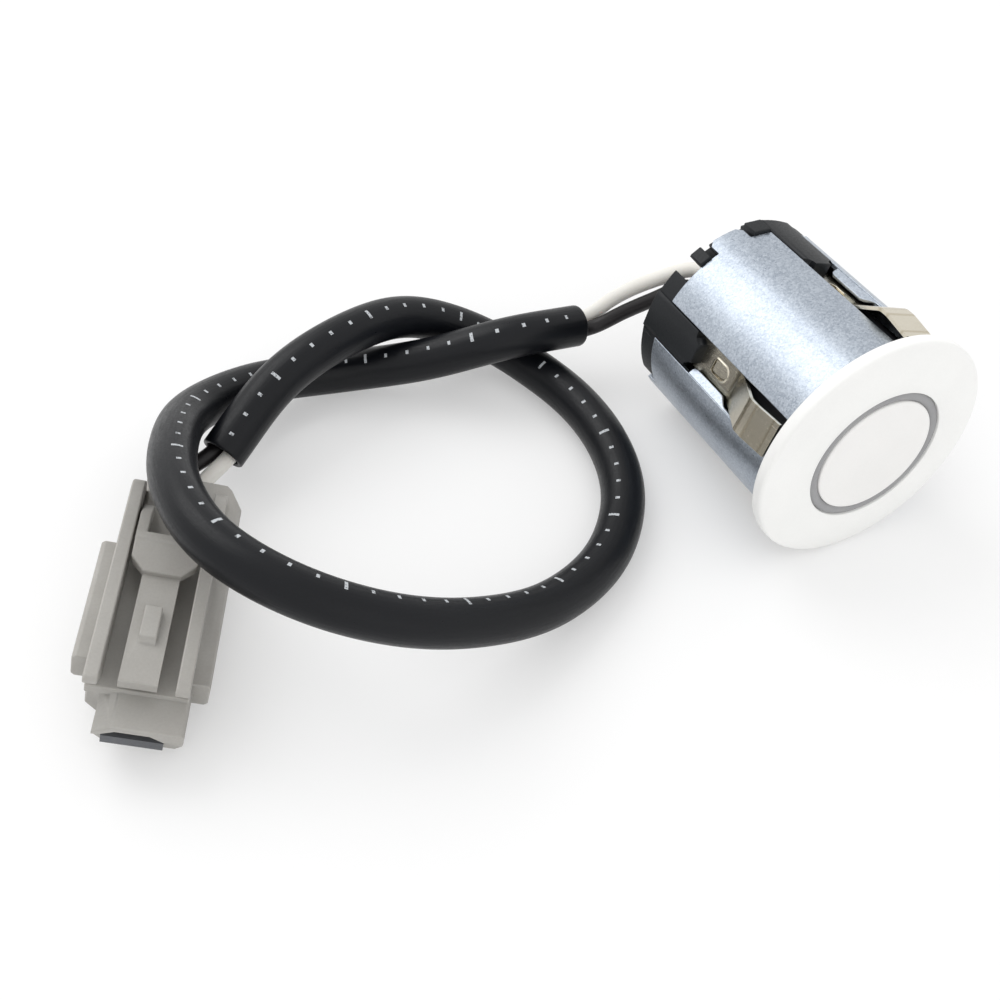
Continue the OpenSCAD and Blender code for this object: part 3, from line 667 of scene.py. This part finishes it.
@dataclass
class Head:
    """The round sensor head, in millimetres along its axis with the flange's back at zero."""

    sleeve_r: float = 11.0
    sheet: float = 0.5
    flange_r: float = 12.6
    face_r: float = 9.0
    face_z: float = 2.0
    rim_z: float = 1.24
    barrel_r: float = 9.45
    flat_r: float = 9.3
    cavity_r: float = 8.2
    disc_r: float = 6.375
    ring_r: float = 7.375
    stop_r: float = 6.375
    cup_wall: float = 0.9
    cap_front: float = -19.0
    cap_back: float = -23.0
    sleeve_back: float = -20.7
    tongue_back: float = -22.6
    tongue_low: float = 4.7
    groove: float = 0.7
    groove_gap: float = 0.05
    slot_w: float = 4.3
    slot_start: float = 70.5
    slot_count: int = 4
    tongues: tuple[float, ...] = (36.3, 104.7, 216.3, 284.7)
    tongue_deg: float = 20.0
    tongue_cut: float = 0.6
    pocket: float = 0.3
    pocket_r: float = 12.3
    clip_w: float = 3.7
    clip_t: float = 0.35
    window_z: float = -11.4
    window_r: float = 0.75
    window_l: float = 1.5
    lip_t: float = 0.4
    lip_lean: float = 55.0
    lip_in: float = 0.15
    shelf_front: float = -7.0
    shelf_back: float = -8.0
    flat_z: float = -7.4
    cup_back: float = -6.5
    cup_floor: float = 1.2
    ring_front: float = 1.93
    ring_foot: float = 0.65
    paint_r: float = 12.1
    spray_r: float = 12.45
    sprayed: float = 0.3
    least_deg: float = 0.4
    flange_rim: Outline = (
        (0.3, 1.355), (0.16, 1.28), (0.06, 1.17), (0.01, 1.04), (0.0, 0.9), (0.0, 0.2), (0.03, 0.08), (0.1, 0.02),
        (0.2, 0.0),
    )
    ring_dips: Outline = ((0.0, 0.3), (0.1, 0.16), (0.28, 0.07), (0.5, 0.04), (0.72, 0.07), (0.9, 0.16), (1.0, 0.3))
    cup_rim: Outline = ((0.19, 0.01), (0.08, 0.05), (0.015, 0.13), (0.0, 0.24))
    lip_outline: Outline = (
        (-0.1, -14.5), (0.55, -14.5), (0.83, -14.38), (0.95, -14.1), (0.95, -9.8), (0.82, -9.5), (0.5, -9.0),
        (0.32, -8.65), (0.25, -8.4), (0.15, -6.2), (-0.1, -5.9),
    )
    clip_ends: Outline = ((9.65, -10.2), (11.8, -0.7))
    clip_bends: tuple[Point, ...] = ((9.65, -9.4, 0.5), (12.25, -4.8, 0.4), (12.25, -3.7, 0.25), (11.9, -1.4, 0.2))
    steps: int = 288
    finishes: Finishes = field(default_factory=Finishes)

    def place(self) -> Place:
        """Gives the head's place: it lies on its flange's rim and on a tongue of its sleeve."""
        low = self.sleeve_r * math.cos(math.radians(self.tongue_low))
        tilt = math.atan2(self.flange_r - low, -self.tongue_back)
        front = self.face_z * math.cos(tilt) + self.face_r * math.sin(tilt)
        rear = -self.cap_back * math.cos(tilt) + (self.sleeve_r - 0.15) * math.sin(tilt)
        at = (0.0, (front - rear) / 2, self.flange_r * math.cos(tilt))
        return Place(at, (("X", 90 - math.degrees(tilt)),))

    def slot_offset(self, point: Vector) -> tuple[float, float]:
        """Gives a point's distance along and across the nearest slot's own direction."""
        angle = math.degrees(math.atan2(point.y, point.x)) - self.slot_start
        pitch = 360 / self.slot_count
        off = math.radians((angle + pitch / 2) % pitch - pitch / 2)
        radius = math.hypot(point.x, point.y)
        return radius * math.cos(off), radius * math.sin(off)

    def set_down(self, piece: Piece, degrees: float) -> Piece:
        """Shades a local piece, sharp past an angle, and puts it in the head's place."""
        shade(piece.data, degrees)
        piece.data.transform(self.place().matrix())
        return piece

    def repeat(self, piece: Piece, count: int, finish: Finish) -> None:
        """Repeats a local piece round the axis, from the first slot on."""
        start = math.radians(self.slot_start)
        values = {"Count": count, "Start": start, "Finish": finish.material()}
        run_tree(piece, bpy.data.node_groups["ring_array"], values)

    def build_front(self) -> Piece:
        """Turns the flange and barrel, presses the pockets and flats, and marks the paint."""
        width, fall = self.flange_r - self.face_r, self.face_z - self.rim_z
        dome = [(self.face_r + width * w / 20, self.face_z - fall * (w / 20) ** 2) for w in range(18)]
        rim = [(self.flange_r - inset, z) for inset, z in self.flange_rim]
        outer, inner = self.sleeve_r + self.groove_gap, self.sleeve_r - self.sheet - self.groove_gap
        seat = [(r, 0.0) for r in (self.pocket_r + 0.02, self.pocket_r, outer + 0.01, outer)]
        groove = [(outer, self.groove), (inner, self.groove), (inner, 0.0), (self.barrel_r, 0.0)]
        levels = (-2.0, -5.0, self.flat_z + 0.02, self.flat_z, self.cap_front)
        flats = [(self.barrel_r, z) for z in levels]
        bore = [(self.cavity_r, self.cap_front), (self.cavity_r, self.shelf_back), (self.stop_r, self.shelf_back)]
        bore += [(self.stop_r, self.shelf_front), (self.ring_r, self.shelf_front)]
        lip = [(self.ring_r, 1.84), (self.ring_r + 0.03, 1.95), (self.ring_r + 0.12, self.face_z)]
        work = lathe([*lip, *dome, *rim, *seat, *groove, *flats, *bore], self.steps)
        mask = work.verts.layers.float.new("paint")
        for vert in work.verts:
            radius, z = math.hypot(vert.co.x, vert.co.y), vert.co.z
            along, across = self.slot_offset(vert.co)
            in_slot = abs(across) < self.slot_w / 2
            bare = z < 0.04 and radius < self.paint_r or z < 0.9 and radius < self.sleeve_r + 0.2
            vert[mask] = 0.0 if bare else 1.0
            if in_slot and z < 1.1 and self.face_r < radius < self.spray_r:
                vert[mask] = min(vert[mask], self.sprayed)
            if in_slot and abs(z) < 1e-6 and outer + 0.005 < radius < self.pocket_r + 0.01:
                vert.co.z = self.pocket
            if in_slot and z < self.flat_z + 0.01 and abs(radius - self.barrel_r) < 1e-3:
                scale = self.flat_r / along
                vert.co.x *= scale
                vert.co.y *= scale
        return self.set_down(from_bmesh("front_housing_shell", work), 30)

    def build_ring(self) -> Piece:
        """Turns the soft ring, with a slightly hollow front."""
        inner, outer = self.disc_r, self.ring_r
        width, foot = outer - inner, inner - self.ring_foot
        hollow = [(inner + width * part, self.ring_front - dip) for part, dip in self.ring_dips]
        rest = [(outer, 1.6), (outer, self.shelf_front), (foot, self.shelf_front)]
        rest += [(foot, self.cup_back), (inner, self.cup_back)]
        return self.set_down(from_bmesh("soft_ring", lathe([*hollow, *rest], self.steps)), 40)

    def build_cup(self) -> Piece:
        """Turns the thin cup whose front is the round membrane."""
        top = [(r, self.face_z) for r in (0.0, 2.0, 4.5, 5.9)]
        edge = [(self.disc_r - inset, self.face_z - fall) for inset, fall in self.cup_rim]
        hollow, back, floor = self.disc_r - self.cup_wall, self.cup_back, self.cup_floor
        inside = [(self.disc_r, back), (hollow, back), (hollow, floor), (0.0, floor)]
        return self.set_down(from_bmesh("membrane_disc", lathe([*top, *edge, *inside], self.steps)), 40)

    def build_sleeve(self) -> Piece:
        """Rolls the slotted steel sleeve with its tongues and adds the lips along the slots."""
        half = math.degrees(math.asin(self.slot_w / 2 / self.sleeve_r))
        slots = [self.slot_start + 360 / self.slot_count * k for k in range(self.slot_count)]
        cut, reach = math.degrees(self.tongue_cut / self.sleeve_r), self.tongue_deg / 2
        turns = {round(360 / self.steps * k, 4) for k in range(self.steps)}
        for mid in slots:
            turns = {t for t in turns if abs(abs(away(t, mid)) - half) > self.least_deg}
            turns |= {round((mid + side * half) % 360, 4) for side in (-1, 1)}
        for mid in self.tongues:
            low, high = reach - cut - self.least_deg, reach + self.least_deg
            turns = {t for t in turns if not low <= abs(t - mid) <= high}
            turns |= {round(mid + side * size, 4) for side in (-1, 1) for size in (reach, reach - cut)}
        angles = sorted(turns)
        levels = [self.tongue_back, self.tongue_back + self.tongue_cut, self.sleeve_back]
        levels += [-17.0, -13.0, -9.0, -5.0, 0.0, self.groove]
        work = bmesh.new()
        grid = {}

        def corner(i: int, j: int) -> Vert:
            """Gives the sheet's point at one angle and level."""
            key = (i % len(angles), j)
            if key not in grid:
                a = math.radians(angles[key[0]])
                grid[key] = work.verts.new((self.sleeve_r * math.cos(a), self.sleeve_r * math.sin(a), levels[j]))
            return grid[key]

        for i, start in enumerate(angles):
            end = angles[(i + 1) % len(angles)]
            mid = start + ((end - start) % 360) / 2
            panel = not any(abs(away(mid, s)) < half for s in slots)
            off = min((away(mid, t) for t in self.tongues), key=abs)
            for j in range(len(levels) - 1):
                if not (abs(off) < reach if j < 2 else panel or j == len(levels) - 2):
                    continue
                quad = [corner(i, j), corner(i + 1, j), corner(i + 1, j + 1), corner(i, j + 1)]
                if j == 0 and abs(off) > reach - cut:
                    quad.pop(0 if off < 0 else 1)
                work.faces.new(quad)
        loose = [v for v in work.verts if not v.link_faces]
        bmesh.ops.delete(work, geom=loose, context="VERTS")
        bmesh.ops.recalc_face_normals(work, faces=work.faces)
        piece = from_bmesh("steel_sleeve_sheet", work)
        thicken(piece, self.sheet, True)
        soften(piece, 0.13, 40, 3)
        return self.set_down(self.joined(piece, self.build_lips()), 50)

    def build_lips(self) -> Piece:
        """Folds the lips of two neighbouring slots, on their side panels, and repeats them."""
        half = self.slot_w / 2
        hinge = Vector((math.sqrt((self.sleeve_r - self.sheet / 2) ** 2 - half**2), half + self.lip_in))
        lean = math.radians(self.lip_lean)
        work = bmesh.new()
        for hand, turn in ((-1, 0.0), (1, 360.0 / self.slot_count)):
            spin = Matrix.Rotation(math.radians(turn), 3, "Z")
            sides = []
            for lift in (self.lip_t / 2, -self.lip_t / 2):
                ring = []
                for along, z in self.lip_outline:
                    x = hinge.x - along * math.cos(lean) + lift * math.sin(lean)
                    y = hinge.y - along * math.sin(lean) - lift * math.cos(lean)
                    ring.append(work.verts.new(spin @ Vector((x, hand * y, z))))
                sides.append(ring)
                work.faces.new(ring)
            band(work, *sides)
        bmesh.ops.recalc_face_normals(work, faces=work.faces)
        piece = from_bmesh("slot_lips", work)
        soften(piece, 0.09, 40, 3)
        self.repeat(piece, self.slot_count // 2, self.finishes.zinc)
        return piece

    def joined(self, piece: Piece, other: Piece) -> Piece:
        """Takes the mesh of another local piece into a piece."""
        work = bmesh.new()
        work.from_mesh(piece.data)
        work.from_mesh(other.data)
        bpy.data.objects.remove(other)
        piece.data = bpy.data.meshes.new(piece.name)
        work.to_mesh(piece.data)
        work.free()
        return piece

    def clip_line(self) -> list[Point]:
        """Gives the clip's outer line as radius, level and a mask of the bends for their painted shade, with
        rounded bends.
        """
        first, last = self.clip_ends
        stops = [first, *(bend[:2] for bend in self.clip_bends), last]
        line = [(*first, 0.0)]
        for k, (r, z, size) in enumerate(self.clip_bends):
            here, before, after = Vector((r, z)), Vector(stops[k]), Vector(stops[k + 2])
            a = here + (before - here).normalized() * size
            b = here + (after - here).normalized() * size
            for n in range(7):
                t = n / 6
                p = a * (1 - t) ** 2 + here * 2 * t * (1 - t) + b * t * t
                line.append((p.x, p.y, math.sin(math.pi * t)))
        return [*line, (*last, 0.0)]

    def build_clips(self) -> Piece:
        """Bends one spring clip with its lanced window and repeats it round the head."""
        work = bmesh.new()
        half, outer = self.clip_w / 2, self.flat_r + self.clip_t
        columns = [half * (k / 4 - 1) for k in range(9)]
        # Mask of the bends, which the strip finish turns into painted shade.
        bend = work.verts.layers.float.new("bend")
        rows = []
        for r, z, mask in self.clip_line():
            rows.append([work.verts.new((r, y, z)) for y in columns])
            for vert in rows[-1]:
                vert[bend] = mask
        for a, b in zip(rows, rows[1:]):
            band(work, a, b, closed=False)
        arc = [math.radians(-90 + 180 * k / 14) for k in range(15)]

        def window(grow: float, lift: float) -> list[Vert]:
            """Makes the D-shaped outline of the window, grown and lifted."""
            size = self.window_r + grow
            points = [(size * math.sin(a), self.window_z + size * math.cos(a)) for a in arc]
            rear = self.window_z - self.window_l - grow
            corner = 0.3 + grow
            points += [(size, rear + corner), (size - 0.3 * corner, rear + 0.3 * corner), (size - corner, rear)]
            points += [(corner - size, rear), (0.3 * corner - size, rear + 0.3 * corner), (-size, rear + corner)]
            return [work.verts.new((outer + lift, y, z)) for y, z in points]

        loops = [window(0.24, 0.0), window(0.14, 0.05), window(0.05, 0.1), window(0.0, 0.06)]
        for a, b in zip(loops, loops[1:]):
            band(work, a, b)
        levels = (-11.5, -13.0, -15.0, -17.0, self.cap_front)
        left = [rows[0][0]] + [work.verts.new((outer, -half, z)) for z in levels]
        right = [rows[0][-1]] + [work.verts.new((outer, half, z)) for z in levels]
        border = left + right[::-1] + rows[0][1:-1][::-1]
        edges = []
        for ring in (border, loops[0]):
            for pair in zip(ring, ring[1:] + ring[:1]):
                edges.append(work.edges.get(pair) or work.edges.new(pair))
        bmesh.ops.triangle_fill(work, edges=edges, use_beauty=True)
        rear, front = self.window_z - self.window_l, self.window_z + self.window_r
        tongue = window(-0.12, 0.0)
        for vert in tongue:
            part = (vert.co.z - rear) / (front - rear)
            vert.co.x = outer - 0.02 - 0.24 * max(part, 0.0)
        work.faces.new(tongue)
        bmesh.ops.recalc_face_normals(work, faces=work.faces)
        if sum(face.normal.x for face in work.faces) < 0:
            bmesh.ops.reverse_faces(work, faces=work.faces)
        across = work.verts.layers.float_vector.new("across")
        for vert in work.verts:
            vert[across] = Vector((vert.co.y * 9.0, vert.co.z * 0.5, 0.0))
        piece = from_bmesh("spring_clips", work)
        thicken(piece, self.clip_t, False)
        shade(piece.data, 45)
        soften(piece, 0.05, 50, 2)
        self.repeat(piece, self.slot_count, self.finishes.spring)
        piece.data.transform(self.place().matrix())
        return piece

    def build(self, frame: dict) -> None:
        """Builds and dresses all pieces of the head."""
        looks = self.finishes
        dress(self.build_front(), looks.front, ["front_housing"])
        dress(self.build_ring(), looks.ring, ["decoupling_ring"])
        dress(self.build_cup(), looks.cup, ["membrane_cup"])
        dress(self.build_sleeve(), looks.zinc, ["steel_sleeve"])
        clips = [f"spring_clip_{k + 1}" for k in range(self.slot_count)]
        dress(self.build_clips(), looks.spring, clips)
        dress(refined(frame, "rear_cap", width=0.12, merge=0.02), looks.moulded, ["rear_cap"])
        inside = {
            "potting": looks.resin,
            "piezo_disc": looks.ceramic,
            "absorber_felt": looks.felt,
            "terminal_board": looks.board,
            "capacitor": looks.can,
            "piezo_lead_hot": looks.copper,
            "piezo_lead_ground": looks.copper,
        }
        paint(frame, inside)


def refined(frame: dict, node: str, width: float, merge: float) -> Piece:
    """Copies a CAD node, merges its facets and rounds its free outward edges.

    Args:
        frame: The loaded frame.
        node: Name of the CAD node.
        width: Width of the rounding in millimetres.
        merge: Distance under which points are merged, in millimetres.

    Returns:
        The new piece.
    """
    work = bmesh.new()
    work.from_mesh(frame["nodes"][node].data)
    bmesh.ops.remove_doubles(work, verts=work.verts, dist=merge * MM)
    bmesh.ops.dissolve_limit(work, angle_limit=math.radians(1.0), verts=work.verts, edges=work.edges)
    shortest = 2.2 * width * MM
    free = {vert for vert in work.verts if min(edge.calc_length() for edge in vert.link_edges) > shortest}
    sharp = [
        edge for edge in work.edges
        if edge.is_convex and edge.calc_face_angle(0.0) > math.radians(28) and free.issuperset(edge.verts)
    ]
    bmesh.ops.bevel(
        work, geom=sharp, offset=width * MM, offset_type="OFFSET", affect="EDGES", segments=3, profile=0.5,
        clamp_overlap=False, miter_outer="ARC",
    )
    piece = from_bmesh(f"{node}_moulding", work)
    even(piece)
    return piece


@dataclass(frozen=True)
class Wire:
    """One wire: its root's angle, free points, side in the sleeve, place in the connector and finish."""

    node: str
    root_deg: float
    drop: tuple[Point, ...]
    turn: float
    x: float
    finish: Finish


@dataclass
class Lead:
    """The two wires and the soft sleeve round them, in millimetres of the common frame."""

    tube_d: float = 4.5
    tube_wall: float = 0.5
    wire_d: float = 1.6
    wire_off: float = 0.84
    root_r: float = 6.9
    board_back: float = -9.0
    exit_back: float = -23.8
    tail_y: tuple[float, float] = (26.1, 14.0)
    wire_z: float = 3.9
    floor_gap: float = 0.05
    step: float = 0.6
    course: tuple[Point, ...] = (
        (-13.4, 20.7, 6.5), (-21.9, 20.6, 7.7), (-30.1, 23.8, 4.7), (-38.5, 27.5, 2.7), (-47.7, 27.7, 4.2),
        (-55.6, 23.3, 7.3), (-59.4, 16.2, 11.1), (-61.4, 8, 14), (-60.6, -0.2, 15.3), (-55.9, -6.8, 14.2),
        (-48.9, -10.4, 11), (-40.9, -11.1, 7), (-32.4, -9.9, 3.7), (-24.2, -6.1, 2.4), (-18.4, 0.8, 2.3),
        (-16.4, 9.9, 2.3), (-18.2, 19.4, 2.3), (-22.9, 26.5, 3.8), (-30.3, 28.4, 7.2), (-38.5, 26, 9.2),
        (-46.8, 22.9, 8.6), (-54.6, 18.3, 5.4),
    )
    wires: tuple[Wire, ...] = (
        Wire("white_wire", 122.0, ((-6.2, 17.2, 13.6), (-9.2, 20.6, 9.2)), 0.0, 1.35, Finishes.white),
        Wire("black_wire", 141.0, ((-6.5, 15.5, 12.7), (-9.3, 18.8, 8.4)), 180.0, -1.35, Finishes.black),
    )
    end_curve: Outline = ((0.0, 0.0), (0.03, 0.55), (0.1, 0.88), (0.22, 1.0))

    def smooth(self, points: Sequence[Vector], rounds: int, lowest: float) -> list[Vector]:
        """Lays one smooth curve through a route.

        Args:
            points: The route's points in millimetres.
            rounds: Passes of evening out.
            lowest: Lowest height that the curve keeps.

        Returns:
            Points of the curve, a step apart.
        """
        ends = [points[0] * 2 - points[1], *points, points[-1] * 2 - points[-2]]
        fine: list[Vector] = []
        for p0, p1, p2, p3 in zip(ends, ends[1:], ends[2:], ends[3:]):
            t1 = (p1 - p0).length ** 0.5
            t2 = t1 + (p2 - p1).length ** 0.5
            t3 = t2 + (p3 - p2).length ** 0.5
            for k in range(12):
                t = t1 + (t2 - t1) * k / 12
                a1, a2, a3 = between(p0, p1, 0.0, t1, t), between(p1, p2, t1, t2, t), between(p2, p3, t2, t3, t)
                b1, b2 = between(a1, a2, 0.0, t2, t), between(a2, a3, t1, t3, t)
                fine.append(between(b1, b2, t1, t2, t))
        fine.append(points[-1].copy())
        spaced = [fine[0]]
        left = self.step
        for a, b in zip(fine, fine[1:]):
            length = (b - a).length
            while left <= length:
                spaced.append(a.lerp(b, left / length))
                left += self.step
            left -= length
        if (spaced[-1] - fine[-1]).length < self.step / 2:
            spaced.pop()
        spaced.append(fine[-1])
        for _ in range(rounds):
            inner = [b + (a + c - 2 * b) / 4 for a, b, c in zip(spaced, spaced[1:], spaced[2:])]
            for p in inner:
                p.z = max(p.z, lowest)
            spaced = [spaced[0], *inner, spaced[-1]]
        return spaced

    def around(self, heading: Vector, degrees: float) -> Vector:
        """Gives the direction at an angle round a heading, from its level side."""
        side = heading.cross(Vector((0, 0, 1))).normalized()
        a = math.radians(degrees)
        return side * math.cos(a) + side.cross(heading) * math.sin(a)

    def wire_route(self, wire: Wire, head: Place, plug: Place) -> list[Vector]:
        """Gives the route of one wire from the head's board to its contact.

        Args:
            wire: The wire.
            head: Place of the head.
            plug: Place of the connector.

        Returns:
            The points of the route in millimetres.
        """
        a = math.radians(wire.root_deg)
        levels = (self.board_back, self.exit_back)
        root = [(self.root_r * math.cos(a), self.root_r * math.sin(a), z) for z in levels]
        points = [head.matrix() @ Vector(p) / MM for p in root] + [Vector(p) for p in wire.drop]
        course = [Vector(p) for p in self.course]
        last = len(course) - 1
        inside = []
        for i, p in enumerate(course):
            heading = (course[min(i + 1, last)] - course[max(i - 1, 0)]).normalized()
            inside.append(p + self.around(heading, wire.turn + 180 * i / last) * self.wire_off)
        mouth = inside[0] - (course[1] - course[0]).normalized() * self.wire_d
        tail = [plug.matrix() @ Vector((wire.x, y, self.wire_z)) / MM for y in self.tail_y]
        return [*points, mouth, *inside, *tail]

    def sweep(self, name: str, path: list[Vector], size: float, wall: float, sides: int, finish: Finish) -> Piece:
        """Sweeps a round cord with rounded ends along a smooth path.

        Args:
            name: Name of the piece.
            path: Its centre line in millimetres.
            size: Its thickness in millimetres.
            wall: Its wall; zero for a solid cord.
            sides: Steps round it.
            finish: Its finish.

        Returns:
            The new piece.
        """
        ways = (path[1] - path[0]).normalized(), (path[-2] - path[-1]).normalized()
        first = [path[0] + ways[0] * d for d, _ in self.end_curve]
        last = [path[-1] + ways[1] * d for d, _ in self.end_curve]
        points = [*first, *path[1:-1], *last[::-1]]
        full = [part for _, part in self.end_curve]
        swell = full + [1.0] * (len(path) - 2) + full[::-1]
        mesh = bpy.data.meshes.new(name)
        mesh.from_pydata([p * MM for p in points], [(k, k + 1) for k in range(len(points) - 1)], [])
        mesh.attributes.new("swell", "FLOAT", "POINT").data.foreach_set("value", swell)
        piece = add_object(name, mesh)
        radius = size / 2
        values = {
            "Radius": radius * MM,
            "Wall": (wall or radius * 0.3) * MM,
            "Sides": sides,
            "Hollow": wall > 0,
            "Finish": finish.material(),
        }
        run_tree(piece, bpy.data.node_groups["swept_cord"], values)
        return piece

    def build(self, head: Place, plug: Place) -> Cords:
        """Builds and dresses the sleeve and the wires.

        Args:
            head: Place of the head.
            plug: Place of the connector.

        Returns:
            Each cord's piece and centre line by its CAD node's name.
        """
        lowest = self.tube_d / 2 + self.floor_gap
        tube = self.smooth([Vector(p) for p in self.course], rounds=16, lowest=lowest)
        hose = Finishes.hose
        piece = self.sweep("soft_sleeve", tube, self.tube_d, wall=self.tube_wall, sides=48, finish=hose)
        made = {"pvc_sleeve": (dress(piece, hose, ["pvc_sleeve"]), tube)}
        for wire in self.wires:
            lowest = self.wire_d / 2 + self.floor_gap
            line = self.smooth(self.wire_route(wire, head, plug), rounds=8, lowest=lowest)
            piece = self.sweep(f"{wire.node}_cord", line, self.wire_d, wall=0.0, sides=28, finish=wire.finish)
            made[wire.node] = (dress(piece, wire.finish, [wire.node]), line)
        return made

    def declare(self, made: Cords, ends: dict[str, list]) -> None:
        """Takes the facts of the three cords and does nothing with them.

        Args:
            made: Pieces and centre lines by node; not used.
            ends: What is on the far end of each wire; not used.
        """


@dataclass
class Connector:
    """The small two-way connector with its latch, in millimetres of its own frame."""

    at: tuple[float, float] = (-71.65, -6.2)
    yaw: float = -27.0
    roll: float = 12.0
    sole: float = 3.0
    finishes: Finishes = field(default_factory=Finishes)

    def place(self) -> Place:
        """Gives the connector's place: it leans on one edge of its sole."""
        lift = self.sole * math.sin(math.radians(self.roll))
        return Place((*self.at, lift), (("Z", self.yaw), ("Y", self.roll)))

    def build(self, frame: dict) -> Piece:
        """Builds and dresses the connector.

        Args:
            frame: The loaded frame.

        Returns:
            The housing piece.
        """
        looks = self.finishes
        housing = refined(frame, "connector_housing", width=0.16, merge=0.1)
        dress(housing, looks.nylon, ["connector_housing"])
        inside = {
            "terminal_lock": looks.lock,
            "terminal_white": looks.brass,
            "terminal_black": looks.brass,
            "wire_seal_white": looks.seal,
            "wire_seal_black": looks.seal,
        }
        paint(frame, inside)
        return housing


@dataclass(frozen=True)
class Lamp:
    """A soft square lamp: its direction and distance from the object, its side in metres and its power in watts."""

    name: str
    direction: Point
    distance: float
    size: float
    power: float

    def hang(self, middle: Point) -> None:
        """Hangs the lamp so that it looks at the object."""
        data = bpy.data.lights.new(self.name, "AREA")
        data.shape = "SQUARE"
        data.size = self.size
        data.energy = self.power
        made = bpy.data.objects.new(self.name, data)
        way = Vector(self.direction).normalized()
        made.location = Vector(middle) + way * self.distance
        made.rotation_euler = way.to_track_quat("Z", "Y").to_euler()
        bpy.context.scene.collection.objects.link(made)


@dataclass
class Studio:
    """Camera, floor and lights, in metres."""

    eye: Point = (-0.0753, -0.0692, 0.1003)
    forward: Point = (0.3421, 0.5648, -0.7509)
    up: Point = (0.2975, 0.6929, 0.6568)
    lens: float = 46.8
    middle: Point = (-0.03, 0.01, 0.01)
    lift: float = 0.33
    near: float = 0.2
    far: float = 0.8
    floor_half: float = 3.0
    floor_z: float = -0.00002
    lamps: tuple[Lamp, ...] = (
        Lamp("key", (-0.26, 0.61, 0.77), 0.5, 0.35, 0.75),
        Lamp("fill", (0.1, -0.9, 0.42), 0.6, 0.5, 0.12),
    )

    def camera(self) -> None:
        """Sets the camera at the photograph's place."""
        data = bpy.data.cameras.new("camera")
        data.lens = self.lens
        data.sensor_width = 36.0
        data.clip_start = 0.005
        data.clip_end = 20.0
        made = bpy.data.objects.new("camera", data)
        z = -Vector(self.forward).normalized()
        x = Vector(self.up).cross(z).normalized()
        y = z.cross(x)
        turn = Matrix((x, y, z)).transposed().to_4x4()
        made.matrix_world = Matrix.Translation(self.eye) @ turn
        bpy.context.scene.collection.objects.link(made)
        bpy.context.scene.camera = made

    @staticmethod
    def seen(net: Net) -> Socket:
        """Tells rays that show the background, straight or in metal and glass, from rays that light the object."""
        paths = net.put("ShaderNodeLightPath").outputs
        direct = net.math("MAXIMUM", paths["Is Camera Ray"], paths["Is Glossy Ray"])
        return net.math("MAXIMUM", direct, paths["Is Transmission Ray"])

    def floor(self) -> None:
        """Lays the pale floor, a little whiter to the eye than it lights the object."""
        mesh = bpy.data.meshes.new("floor")
        signs = ((-1, -1), (1, -1), (1, 1), (-1, 1))
        corners = [(x * self.floor_half, y * self.floor_half, self.floor_z) for x, y in signs]
        mesh.from_pydata(corners, [], [(0, 1, 2, 3)])
        made = bpy.data.materials.new("pale_floor")
        made.use_nodes = True
        net = Net(made.node_tree)
        shader = made.node_tree.nodes["Principled BSDF"]
        coords = net.put("ShaderNodeTexCoord").outputs["Object"]
        tone = net.blend(net.noise(coords, 9.0), (0.9, 0.9, 0.9, 1.0), (0.93, 0.93, 0.93, 1.0))
        net.link(tone, shader.inputs["Base Color"])
        shader.inputs["Roughness"].default_value = 0.7
        shader.inputs["Specular IOR Level"].default_value = 0.2
        white = net.out("ShaderNodeEmission", {"Color": (1.0, 1.0, 1.0, 1.0), "Strength": 1.0})
        off = net.put("ShaderNodeVectorMath", {0: coords}, operation="LENGTH").outputs["Value"]
        share = net.times(self.seen(net), net.span(off, self.near, self.far, self.lift, 1.0))
        mixed = net.out("ShaderNodeMixShader", {0: share, 1: shader.outputs[0], 2: white})
        net.link(mixed, made.node_tree.nodes["Material Output"].inputs["Surface"])
        mesh.materials.append(made)
        add_object("floor", mesh)

    def world(self) -> None:
        """Fills the room with soft light that is a little brighter from above."""
        made = bpy.data.worlds.new("room")
        made.use_nodes = True
        net = Net(made.node_tree)
        back = made.node_tree.nodes["Background"]
        coords = net.put("ShaderNodeTexCoord").outputs["Generated"]
        height = net.put("ShaderNodeSeparateXYZ", {0: coords}).outputs[2]
        glow = net.span(height, -0.1, 0.9, 0.88, 1.0)
        strength = net.out("ShaderNodeMix", {0: self.seen(net), 2: glow, 3: 1.0})
        back.inputs["Color"].default_value = (1.0, 1.0, 1.0, 1.0)
        net.link(strength, back.inputs["Strength"])
        bpy.context.scene.world = made

    def build(self) -> None:
        """Sets up the whole studio."""
        bpy.context.scene.view_settings.view_transform = "Standard"
        self.camera()
        self.floor()
        self.world()
        for lamp in self.lamps:
            lamp.hang(self.middle)


def main() -> None:
    """Builds the sensor's pieces in order."""
    logging.basicConfig(level=logging.INFO, format="%(name)s: %(message)s")
    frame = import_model()
    Studio().build()
    ring_array_tree()
    cord_tree()
    head, plug, lead = Head(), Connector(), Lead()
    cords = lead.build(head.place(), plug.place())
    head.build(frame)
    housing = plug.build(frame)
    nodes = frame["nodes"]
    ends = {
        "white_wire": [housing, nodes["terminal_lock"], nodes["terminal_white"], nodes["wire_seal_white"]],
        "black_wire": [nodes["terminal_black"], nodes["wire_seal_black"]],
    }
    lead.declare(cords, ends)
    bpy.context.view_layer.update()


if __name__ == "__main__":
    main()
